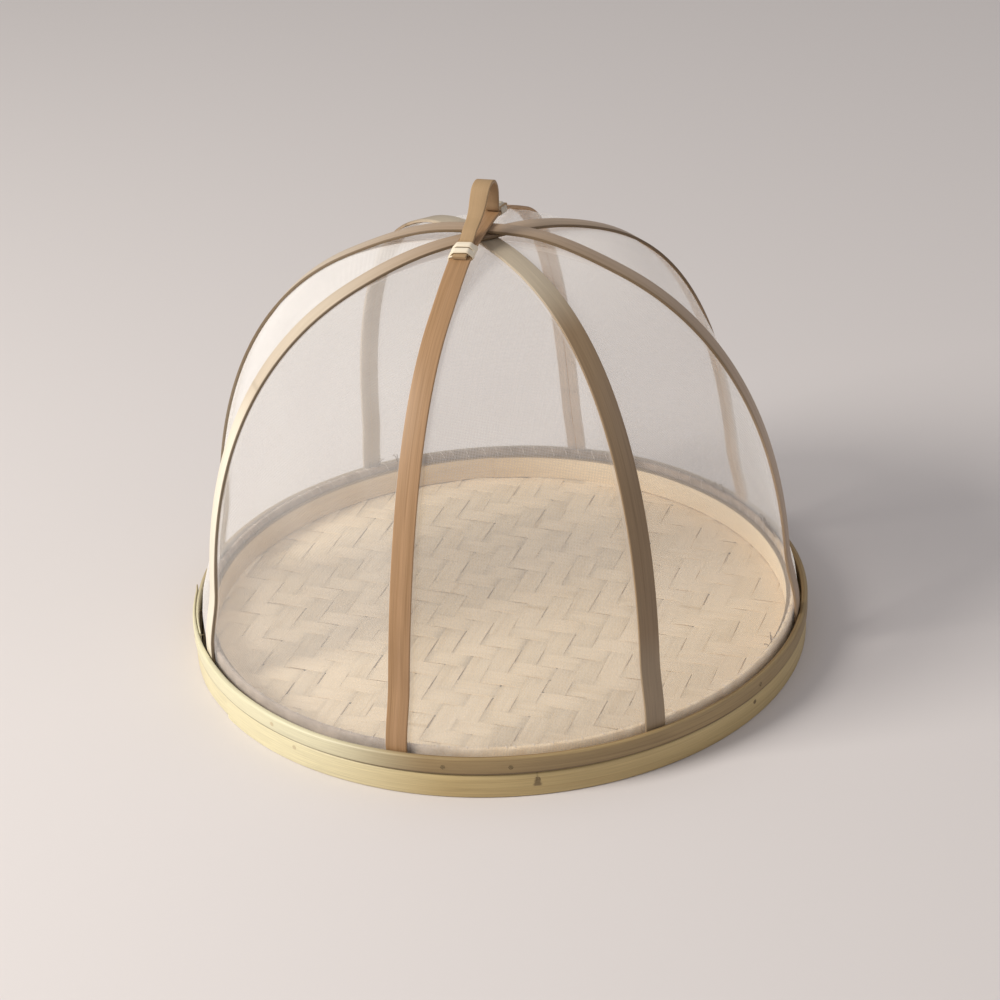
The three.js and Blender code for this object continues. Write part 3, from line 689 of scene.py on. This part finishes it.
def half_arch(arch, half, profile, piled):
    """One half of an arch as (place on the outer face, up, out, across, radius)."""
    feet, layer, bows, lifts, crossing = arch
    middle = (feet[0] + feet[1] - 180) / 2 + half * 180
    swing = feet[half] - middle
    miss = Vector((crossing[0], crossing[1], 0)) * DOME_RADIUS
    places = []
    for radius, z, share in profile:
        reach = min(1, radius / DOME_RADIUS)
        azimuth = middle + swing * math.sin(math.pi / 2 * min(1, radius / FOOT_RADIUS))
        bow = bows[half] * DOME_RADIUS * math.sin(math.pi * share)
        lift = lifts[half] * DOME_RADIUS * 4 * reach ** 2 * (1 - reach ** 2)
        pile = layer * LAYER_PITCH * (1 - smooth(radius, CROSSING_FLAT, CROSSING_FADE)) * piled
        places.append(around(radius, azimuth, z + lift + pile) + along_ring(azimuth) * bow
                      + miss * (1 - reach ** 2))
    line = []
    for i, place in enumerate(places):
        up = run_at(places, i)
        azimuth = math.degrees(math.atan2(place.x, -place.y))
        foot = i < FOOT_STATIONS
        facing = around(1, feet[half] if foot else azimuth) * max(0, up.z)
        facing.z = 0 if foot else math.hypot(up.x, up.y)
        out = (facing - up * facing.dot(up)).normalized()
        line.append((place, up, out, up.cross(out).normalized(), profile[i][0]))
    return line


def whole_arch(arch, profile):
    """Both halves of an arch as one line, keeping the first half's directions."""
    first = half_arch(arch, 0, profile, 1)
    second = half_arch(arch, 1, profile, 1)[::-1][1:]
    second = [(place, -up, out, -across, -radius) for place, up, out, across, radius in second]
    place, up, out, across, radius = first[-1]
    up = (second[0][0] - first[-2][0]).normalized()
    first[-1] = (place, up, out, up.cross(out).normalized(), radius)
    return first + second


rib_profile = dome_profile(RIB_STEPS)
arch_lines = {name: whole_arch(arch, rib_profile) for name, arch in ARCHES.items()}

# One orange-tan strip with its skin scraped off, and three that keep a grey-olive skin.
orange_bamboo = bamboo("scraped bamboo strip", "#a98562", "#b29474", "#86653f", 0.5, shift=0.25)
brown_bamboo = bamboo("weathered bamboo strip", "#8d765b", "#a68e73", "#715b42", 0.4,
                      shift=0.8, grainy=0.4)
# Strips c and d are painted dark along their lower edge, as shade on the edge turned from the
# lamp.
edged_bamboo = bamboo("weathered bamboo strip with a dark edge", "#b39c86", "#c0a68a",
                      "#866d50", 0.4, shift=0.6, grainy=0.4, dark_edge=-RIB_WIDTH / 2,
                      edge_start=RIB_DARK_EDGE_START)
finishes = {"rib_strip_a": orange_bamboo, "rib_strip_b": brown_bamboo,
            "rib_strip_c": edged_bamboo, "rib_strip_d": edged_bamboo}
for name, line in arch_lines.items():
    first = name == "rib_strip_a"
    stations = [(place - out * RIB_THICKNESS / 2, across, out, 1.0, 1.0)
                for place, up, out, across, radius in line]
    # Painted light: half as light on the left, and nearly white where the lamp's light falls
    # square on it, with a little painted shade on the far side.
    tints = 0.0 if first else [
        half + full for half, full in zip(painted_light_tints(stations, 0.3, RIB_LIT_AZIMUTH, 0.12, 0.55),
                                          painted_light_tints(stations, 0.36, RIB_LIT_AZIMUTH, 0.71, 0.83, shade=0))]
    if name == "rib_strip_b":
        # It is painted paler near the crossing, as a reflection of the bright backdrop on its top,
        # and a little paler just above the ring.
        pale = [0.29 * smooth(station[0].z, 0.198, 0.217) + 0.09 * smooth(station[0].z, 0.08, 0.05)
                for station in stations]
        tints = [tint + share * (1 - tint) for tint, share in zip(tints, pale)]
    piece = strips_along(name.replace("rib_strip", "arched_strip"), [(stations, tints)], RIB_WIDTH,
                         RIB_THICKNESS, edge=0.00035, steps=3, material=finishes[name])
    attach(piece, "cover")
    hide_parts(name)


# ---- Cover, netting dome ----
# Fine white gauze, sewn from eight gores that meet below the strips. It is drawn straight
# from strip to strip, and its edge is gripped all round in the ring.

NET_SINK = 0.00035
NET_SLACK = 0.0008
NET_PULL_HEIGHT = 0.060
NET_STEPS = 40
NET_COLUMNS = 16
NET_TOP_RADIUS = 0.009
SEAM_GAP = 0.0002
SEAM_ALLOWANCE = 0.0080
SEAM_FADE = 0.0025
SEAM_COVER = 0.46
THREAD_PITCH = 0.0007
THREAD_CORE = 0.00004
THREAD_EDGE = 0.0002
THREAD_COVER = 0.38
OPEN_COVER = 0.23

# Polyester gauze with a thread every 0.7 mm: the threads catch the light and let some of it
# through, and what is behind shows between them. Along each strip two layers lie together.
gauze, tree, shader = new_material("white polyester gauze")
tree.nodes.remove(shader)
aside, upwards, from_seam = put(tree, "ShaderNodeSeparateXYZ", {
    0: attribute(tree, "cloth", "Vector")}).outputs
threads = [remap(tree, maths(tree, "PINGPONG", axis, THREAD_PITCH / 2), THREAD_CORE, THREAD_EDGE,
                 1, 0) for axis in (aside, upwards)]
cover_share = remap(tree, maths(tree, "MAXIMUM", *threads), 0, 1, OPEN_COVER, THREAD_COVER)
# Clouds 36 mm across, where the gauze lies thinner or thicker by a tenth.
cloudy = remap(tree, noise(tree, object_place(tree), 28, 3), 0.3, 0.7, 0.9, 1.1)
cover_share = maths(tree, "MULTIPLY", cover_share, cloudy)
cover_share = maths(tree, "MULTIPLY", cover_share, attribute(tree, "close"))
seam = remap(tree, from_seam, SEAM_ALLOWANCE - SEAM_FADE, SEAM_ALLOWANCE, SEAM_COVER, 0)
cover_share = maths(tree, "MAXIMUM", cover_share, seam)
white = colour("#f8f7f8")
fabric = put(tree, "ShaderNodeMixShader", {
    0: 0.4, 1: put(tree, "ShaderNodeBsdfDiffuse", {"Color": white, "Roughness": 0.6}),
    2: put(tree, "ShaderNodeBsdfTranslucent", {"Color": white})})
fill(tree, tree.nodes["Material Output"], {"Surface": put(tree, "ShaderNodeMixShader", {
    0: cover_share, 1: put(tree, "ShaderNodeBsdfTransparent"), 2: fabric})})

net_profile = dome_profile(NET_STEPS)
base_lines = [half_arch(arch, half, net_profile, 0) for half in (0, 1) for arch in ARCHES.values()]


def cloth_mesh(name, points, faces, material):
    mesh = bpy.data.meshes.new(name)
    mesh.from_pydata(points, [], faces)
    for polygon in mesh.polygons:
        polygon.use_smooth = True
    mesh.materials.append(material)
    return mesh


def gore(name, line_a, line_b, closeness):
    """The netting between two neighbouring strips, with its flat size and area."""
    rows = []
    for a, b in zip(line_a, line_b):
        if a[4] < NET_TOP_RADIUS:
            break
        slack = NET_SLACK * (1 - smooth(a[4], CROSSING_FLAT, CROSSING_FADE))
        sink = RIB_THICKNESS + NET_SINK + slack
        spacing = (a[0] - b[0]).length
        flat = min(RIB_WIDTH / 2, spacing * 0.3)
        gap = min(SEAM_GAP, spacing * 0.1)
        start = a[0] - a[2] * sink + a[3] * flat
        end = b[0] - b[2] * sink - b[3] * flat
        pull = smooth(a[0].z, GRIP_TOP, GRIP_TOP + NET_PULL_HEIGHT)
        start_angle = math.atan2(start.x, -start.y)
        turn = (math.atan2(end.x, -end.y) - start_angle) % (2 * math.pi)
        row = [a[0] - a[2] * sink + a[3] * gap]
        for k in range(NET_COLUMNS + 1):
            share = k / NET_COLUMNS
            straight = start.lerp(end, share)
            radius = mix(math.hypot(start.x, start.y), math.hypot(end.x, end.y), share)
            ring = around(radius, math.degrees(start_angle + turn * share), straight.z)
            row.append(ring.lerp(straight, pull))
        row.append(b[0] - b[2] * sink - b[3] * gap)
        rows.append(row)
    # Under the crossing the gores run together to one point.
    top = Vector((0, 0, DOME_HEIGHT - RIB_THICKNESS - NET_SINK - NET_SLACK))
    last = rows[-1]
    rows += [[place.lerp(top, share) for place in last] for share in (0.35, 0.7, 0.97)]
    width = len(rows[0])
    faces = [(i * width + k, i * width + k + 1, (i + 1) * width + k + 1, (i + 1) * width + k)
             for i in range(len(rows) - 1) for k in range(width - 1)]
    mesh = cloth_mesh(name, [point for row in rows for point in row], faces, gauze)
    # "cloth" is metres across from the middle, metres up, and metres from the nearer seam.
    cloth, widths, up, middle = [], [], 0.0, width // 2
    for i, row in enumerate(rows):
        up += (row[middle] - rows[i - 1][middle]).length if i else 0
        across = [0.0]
        for a, b in zip(row, row[1:]):
            across.append(across[-1] + (b - a).length)
        widths.append(across[-1])
        cloth += [Vector((reached - across[middle], up, min(reached, across[-1] - reached)))
                  for reached in across]
    store(mesh, "cloth", cloth)
    store(mesh, "close", [closeness] * len(mesh.vertices))
    area = sum(polygon.area for polygon in mesh.polygons)
    return into_scene(name, mesh), (max(widths), up), area


# The two narrow gores are of closer gauze, or hold more of it.
closeness = (1, 1, 1.8, 1, 1, 1, 2.4, 1)
for i in range(8):
    piece, flat, area = gore(f"gauze_gore_{i + 1}", base_lines[i], base_lines[(i + 1) % 8],
                             closeness[i])
    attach(piece, "cover")
    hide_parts(f"netting_gore_{i + 1}")


# ---- Cover, hem band ----
# The netting's edge is turned over the inner hoop in a folded band, and whipped to it with
# long slanting stitches. Cut threads of the gauze fray out of the fold.

HEM_OUTER = 0.1543
HEM_INNER = 0.1521
HEM_TOP = 0.0241
HEM_BOTTOM = 0.0138
HEM_CORNER = (0.0005, 0.0006)
HEM_STEPS = 480
HEM_RIPPLE = 0.0003
HEM_EDGE_RIPPLE = 0.0009
HEM_BULGE = 0.00012
HEM_DARK_AZIMUTH = 174
COTTON_THICKNESS = 0.00035
STITCH_SLANTS = (0.8, 1.6)
STITCH_STARTS = (0.0015, 0.004)
STITCH_PITCHES = (2.2, 4.2)
FRAY_LEANS = (-1.5, 1.5)
FRAY_RISES = (0.0015, 0.0065)
FRAY_STRAYS = (0, 0.0016)
# Tufts of frayed threads: the azimuth, the degrees they spread over, and how many there are.
TUFTS = ((126, 4, 6), (106, 3.5, 16), (60, 3, 3), (205, 5, 5), (290, 3, 3))

# Several layers of the same gauze, so hardly see-through: the bamboo under it gives it a
# taupe cast. It is painted darker in the hollows of its creases, as shade, and is darker at
# the back. Towards the front right it is painted pale, as light falling through onto it.
hem_cloth, tree, shader = new_material("folded gauze")
where = object_place(tree)
tint = attribute(tree, "tint")
# Threads every 0.9 mm up and down, and creases about 6 mm apart.
threads = noise(tree, where, 1100, 2)
creases = noise(tree, where, 160, 3)
creased = remap(tree, creases, 0.35, 0.65)
# Painted darker where the creases sink, as shade in their hollows.
tone = blend(tree, tint, blend(tree, creased, "#928172", "#b3a294"),
             blend(tree, creased, "#ebd0a9", "#fae4c3"))
fill(tree, shader, {
    "Base Color": scaled(tree, tone, remap(tree, tint, -1, 0, 0.3, 1)), "Roughness": 0.9,
    "Sheen Weight": 0.2, "Normal": put(tree, "ShaderNodeBump", {
        "Strength": 0.6, "Distance": 0.0004, "Height": maths(tree, "ADD", threads, creases)})})

rng = random.Random(5)
ripples = [(rng.randint(20, 90), rng.uniform(0, 6.3), rng.uniform(0.3, 1)) for i in range(9)]
# From the lower edge outside, over the fold and down inside: radius, height and ripple.
hem_profile = [
    (HEM_OUTER, HEM_BOTTOM, 0), (HEM_OUTER, HEM_TOP - HEM_CORNER[1], HEM_RIPPLE),
    (HEM_OUTER - HEM_CORNER[0], HEM_TOP, HEM_RIPPLE),
    (HEM_INNER + HEM_CORNER[0], HEM_TOP, HEM_RIPPLE),
    (HEM_INNER, HEM_TOP - HEM_CORNER[1], HEM_RIPPLE), (HEM_INNER, HEM_BOTTOM, HEM_EDGE_RIPPLE)]
size = len(hem_profile)
vertices, faces, tints = [], [], []
for i in range(HEM_STEPS):
    azimuth = 360 * i / HEM_STEPS
    turned = (azimuth + 180) % 360 - 180
    # Lighter towards the front right as painted light falling through onto it, darker at the back.
    lit_share = smooth(turned, -25, 5) * smooth(turned, 112, 88)
    darker_share = 0.5 * smooth(abs(azimuth - HEM_DARK_AZIMUTH), 32, 22)
    ripple = sum(most * math.sin(count * math.radians(azimuth) + start)
                 for count, start, most in ripples) / len(ripples)
    for radius, z, rise in hem_profile:
        bulge = HEM_BULGE * abs(ripple) if radius < HEM_OUTER - HEM_CORNER[0] else 0
        vertices.append(around(radius - bulge, azimuth, z + rise * ripple))
        tints.append(lit_share - darker_share)
    for k in range(size - 1):
        a, b = i * size + k, (i + 1) % HEM_STEPS * size + k
        faces.append((a, a + 1, b + 1, b))
hem_mesh = cloth_mesh("hem_band", vertices, faces, hem_cloth)
store(hem_mesh, "tint", tints)
hem_band = into_scene("hem_band", hem_mesh)
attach(hem_band, "cover")
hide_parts("hem_binding")

# White sewing cotton with a twist of 0.7 mm. The frayed ends have caught dust and are brown.
cotton, tree, shader = new_material("white sewing cotton")
tone = blend(tree, noise(tree, object_place(tree), 1400, 2), "#c9bcb6", "#efe7df")
fill(tree, shader, {"Base Color": blend(tree, attribute(tree, "tint"), tone, "#5d4b3b"),
                    "Roughness": 0.85})


def stitch_lines():
    """Whip stitches over the band all round, and frayed ends that stand out of the fold."""
    rng = random.Random(23)
    threads = []
    azimuth = 0.0
    while azimuth < 359:
        slant = rng.uniform(*STITCH_SLANTS)
        low = HEM_BOTTOM + rng.uniform(*STITCH_STARTS)
        # Up the inside and over the fold: radius, height and share of the slant.
        path = [(HEM_INNER - 0.00022, low, 0), (HEM_INNER - 0.0003, HEM_TOP - 0.0015, 0.6),
                (HEM_INNER + 0.0002, HEM_TOP + 0.0002, 0.85),
                (HEM_OUTER - 0.0003, HEM_TOP + 0.0002, 1.0)]
        threads.append(([around(r, azimuth + slant * s, z) for r, z, s in path], 0.0))
        azimuth += rng.uniform(*STITCH_PITCHES)
    for centre, spread, count in TUFTS:
        for unused in range(count):
            start = centre + rng.gauss(0, spread / 2)
            lean = rng.uniform(*FRAY_LEANS)
            rise = rng.uniform(*FRAY_RISES)
            line = [around(HEM_INNER + 0.0006, start, HEM_TOP - 0.0003)]
            for s in (0.35, 0.7, 1.0):
                line.append(around(HEM_INNER - rng.uniform(*FRAY_STRAYS) * s, start + lean * s,
                                   HEM_TOP + rise * math.sin(1.9 * s)))
            threads.append((line, 1.0))
    strips = []
    for line, darker_share in threads:
        stations = []
        for i, point in enumerate(line):
            run = run_at(line, i)
            facing = Vector((-point.x, -point.y, 0)).normalized() + Vector((0, 0, 0.5))
            facing = (facing - run * facing.dot(run)).normalized()
            stations.append((point, run.cross(facing), facing, 1.0, 1.0))
        strips.append((stations, darker_share))
    return strips


stitches = strips_along("hem_stitches", stitch_lines(), COTTON_THICKNESS, COTTON_THICKNESS,
                        edge=0.00012, steps=1, material=cotton)
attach(stitches, "cover")


# ---- Cover, handle ----
# A short strip of the same bamboo, bent over hot into a leaning loop. Its two ends lie along
# the top strip, one each side of the crossing, where cane binds them down.

HANDLE_THICKNESS = 0.0015
HANDLE_FOOT_WIDTH = 0.0070
HANDLE_TOP_WIDTH = 0.0092
HANDLE_HEIGHT = 0.0208
HANDLE_DRIFT = 0.0015
HANDLE_LEAN = 0.0018
HANDLE_LIFT_OFF = 0.0205
HANDLE_FOOT_LENGTH = 0.0140
HANDLE_SEAT_GAP = 0.0005
HANDLE_FOOT_POINTS = 4
CURVE_STEPS = 8
# The loop between the feet: shares of the way back, and of the height.
HANDLE_SHARES = ((0, 0), (0.1, 0.18), (0.26, 0.34), (0.35, 0.51), (0.41, 0.73), (0.48, 0.93),
                 (0.585, 1), (0.7, 0.95), (0.81, 0.76), (0.9, 0.5), (0.96, 0.22), (1, 0))

top_line = arch_lines["rib_strip_a"]


def station_at(reach):
    """The place on the top strip at a distance from the crossing, to the front if positive."""
    i = next(i for i, station in enumerate(top_line) if i and station[4] <= reach)
    before, after = top_line[i - 1], top_line[i]
    share = (before[4] - reach) / (before[4] - after[4])
    place = before[0].lerp(after[0], share)
    return [place] + [before[k].lerp(after[k], share).normalized() for k in (1, 2, 3)]


def curve_through(points):
    """A smooth curve through points, by centripetal Catmull-Rom spans."""
    padded = [points[0] * 2 - points[1], *points, points[-1] * 2 - points[-2]]
    curve = []
    for i in range(len(points) - 1):
        p = padded[i:i + 4]
        knots = [0.0]
        for a, b in zip(p, p[1:]):
            knots.append(knots[-1] + max(1e-6, (b - a).length) ** 0.5)
        for step in range(CURVE_STEPS):
            t = mix(knots[1], knots[2], step / CURVE_STEPS)
            layer = p
            for level in (1, 2, 3):
                layer = [layer[k] * ((knots[k + level] - t) / (knots[k + level] - knots[k]))
                         + layer[k + 1] * ((t - knots[k]) / (knots[k + level] - knots[k]))
                         for k in range(4 - level)]
            curve.append(layer[0])
    return curve + [points[-1]]


def handle_line():
    def lie(reach):
        place, up, out, across = station_at(reach)
        return place + out * (HANDLE_SEAT_GAP + HANDLE_THICKNESS / 2)

    across = station_at(0)[3]
    reaches = [HANDLE_LIFT_OFF + HANDLE_FOOT_LENGTH * i / HANDLE_FOOT_POINTS
               for i in range(1, HANDLE_FOOT_POINTS + 1)]
    front = [lie(reach) for reach in reversed(reaches)]
    back = [lie(-reach) + across * HANDLE_DRIFT for reach in reaches]
    start, end = lie(HANDLE_LIFT_OFF), lie(-HANDLE_LIFT_OFF) + across * HANDLE_DRIFT
    free = [start.lerp(end, share) + across * HANDLE_LEAN * rise
            for share, rise in HANDLE_SHARES]
    for point, (share, rise) in zip(free, HANDLE_SHARES):
        point.z += HANDLE_HEIGHT * rise
    curve = curve_through(front + free + back)
    stations = []
    for i, point in enumerate(curve):
        forward = run_at(curve, i)
        out = forward.cross(across).normalized()
        sideways = out.cross(forward).normalized()
        rise = (point.z - start.z) / HANDLE_HEIGHT
        width = mix(HANDLE_FOOT_WIDTH, HANDLE_TOP_WIDTH, smooth(rise, 0, 1))
        stations.append((point, sideways, out, width / HANDLE_TOP_WIDTH, 1.0))
    return stations


# Bamboo that has darkened and dulled where it is held.
handle_bamboo = bamboo("bent bamboo handle", "#a1876a", "#a88c6a", "#86694a", 0.48, shift=0.35,
                       grainy=0.3)
handle = strips_along("handle", [(handle_line(), 0.0)], HANDLE_TOP_WIDTH, HANDLE_THICKNESS,
                      edge=0.0006, steps=4, material=handle_bamboo)
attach(handle, "cover")
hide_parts("handle_loop")


# ---- Cover, cane bindings ----
# Split cane, wound wet twice round the strip and a foot of the handle. It shrinks tight as it
# dries, with its glossy rind outwards.

CANE_WIDTH = 0.004
CANE_THICKNESS = 0.0007
CANE_TURNS = 2
CANE_TURN_GAP = 0.0005
CANE_SEAT_GAP = 0.0003
CANE_BEND = 0.0008
CANE_BEND_STEPS = 4
CANE_STRAY = 0.00025
BINDING_SETBACK = 0.0015


def binding_line(side):
    """Winds round the two strips where they lie together, the narrow foot on the wide strip."""
    fit = CANE_SEAT_GAP + CANE_THICKNESS / 2 + CANE_BEND
    wide, narrow = RIB_WIDTH / 2 - CANE_BEND, HANDLE_FOOT_WIDTH / 2 - CANE_BEND
    top = HANDLE_SEAT_GAP + HANDLE_THICKNESS - CANE_BEND
    low = CANE_BEND - RIB_THICKNESS
    corners = [(wide, low), (wide, -CANE_BEND), (narrow, top), (-narrow, top),
               (-wide, -CANE_BEND), (-wide, low)]
    headings = [math.atan2(a[0] - b[0], b[1] - a[1])
                for a, b in zip(corners, corners[1:] + corners[:1])]
    loop = []
    for i, (x, y) in enumerate(corners):
        first, last = headings[i - 1], headings[i]
        last = first + (last - first) % (2 * math.pi)
        for step in range(CANE_BEND_STEPS + 1):
            angle = mix(first, last, step / CANE_BEND_STEPS)
            loop.append((x + fit * math.cos(angle), y + fit * math.sin(angle), angle))
    reached = [0.0]
    for a, b in zip(loop, loop[1:] + loop[:1]):
        reached.append(reached[-1] + math.dist(a[:2], b[:2]))
    stops = [(x, y, angle, turn + reached[i] / reached[-1])
             for turn in range(CANE_TURNS) for i, (x, y, angle) in enumerate(loop)]
    stops.append((*loop[0], CANE_TURNS))
    first = HANDLE_LIFT_OFF + BINDING_SETBACK + CANE_WIDTH / 2
    stations = []
    for x, y, angle, turns in stops:
        # Each turn lies a little differently.
        stray = CANE_STRAY * math.sin(5.3 * turns + side)
        reach = side * (first + (CANE_WIDTH + CANE_TURN_GAP) * turns + stray)
        place, up, out, across = station_at(reach)
        proud = across * math.cos(angle) + out * math.sin(angle)
        stations.append((place + across * x + out * y, up, proud,
                         1 + 0.05 * math.sin(8.1 * turns), 1.0))
    return stations


# Rattan rind, ivory and a little waxy. The rear binding is painted darker, as shade.
cane = bamboo("split cane", "#f0e5d2", "#dccaab", "#c2a880", 0.4, joints=0.9, shift=0.6,
              stain=0.2, grainy=0.2)
# The rear binding's negative tint is painted shade.
for name, node, side, tint in (("cane_front", "front_binding", 1, 0.0),
                               ("cane_rear", "rear_binding", -1, -0.35)):
    piece = strips_along(name, [(binding_line(side), tint)], CANE_WIDTH, CANE_THICKNESS,
                         edge=0.0003, steps=3, material=cane)
    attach(piece, "cover")
    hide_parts(node)


# ---- Cover, brads ----
# The same wire brads nail the ring together, one near most feet, wherever the maker found it
# loose, so they aren't evenly spaced.

COVER_BRAD_LENGTH = 0.0073
COVER_BRAD_HEIGHT = 0.0176
COVER_BRAD_AZIMUTHS = [-11, 0.5, 51.5, 97.5, 141, 184, 230, 271, 280, 315]
cover_brads = brads_in("cover_brads", RING_RADII[1], COVER_BRAD_HEIGHT, COVER_BRAD_AZIMUTHS,
                       COVER_BRAD_LENGTH)
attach(cover_brads, "cover")
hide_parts(*[f"cover_brad_{i + 1}" for i in range(10)])


# ---- Studio ----
# A plain pale floor, one large soft lamp high on the left, a weak one low on the right to fill
# the shadows, and the camera where the photographer stood.

FLOOR_HALF = 6
WORLD_STRENGTH = 0.47
LAMP_AIM = (0, 0, 0.08)
CAMERA_PLACE = (0.0026, -1.1329, 0.6893)
CAMERA_LENS = 90.18
CAMERA_SENSOR = 36
CAMERA_DOWN = 28.54
CAMERA_ROLL = -2.87

floor_mesh = bpy.data.meshes.new("studio_floor")
floor_mesh.from_pydata([(x * FLOOR_HALF, y * FLOOR_HALF, 0)
                        for x, y in ((-1, -1), (1, -1), (1, 1), (-1, 1))], [], [(0, 1, 2, 3)])
floor = into_scene("studio_floor", floor_mesh)
# Plain matt paper.
paper, tree, shader = new_material("matt backdrop paper")
fill(tree, shader, {"Base Color": colour("#d8d3d4"), "Roughness": 0.9})
floor_mesh.materials.append(paper)

world = bpy.data.worlds.new("studio")
world.use_nodes = True
fill(world.node_tree, world.node_tree.nodes["Background"],
     {"Color": colour("#eeebe8"), "Strength": WORLD_STRENGTH})
bpy.context.scene.world = world

# Each lamp's place, diameter, power and colour.
for name, place, size, power, tone in (("key", (-1.6, -0.6, 1.35), 0.9, 45, "#fffaf0"),
                                       ("fill", (2.0, -0.5, 1.2), 1.6, 4, "#f4f2ff")):
    light = bpy.data.lights.new(name, "AREA")
    light.shape = "DISK"
    light.size = size
    light.energy = power
    light.color = colour(tone)[:3]
    lamp = into_scene(name, light)
    lamp.location = place
    lamp.rotation_euler = (Vector(LAMP_AIM) - Vector(place)).to_track_quat("-Z", "Y").to_euler()

lens = bpy.data.cameras.new("camera")
lens.lens = CAMERA_LENS
lens.sensor_width = CAMERA_SENSOR
camera = into_scene("camera", lens)
camera.location = CAMERA_PLACE
camera.rotation_euler = (math.radians(90 - CAMERA_DOWN), 0, 0)
camera.rotation_euler.rotate_axis("Z", math.radians(CAMERA_ROLL))
bpy.context.scene.camera = camera
bpy.context.scene.view_settings.view_transform = "Standard"

bpy.context.view_layer.update()
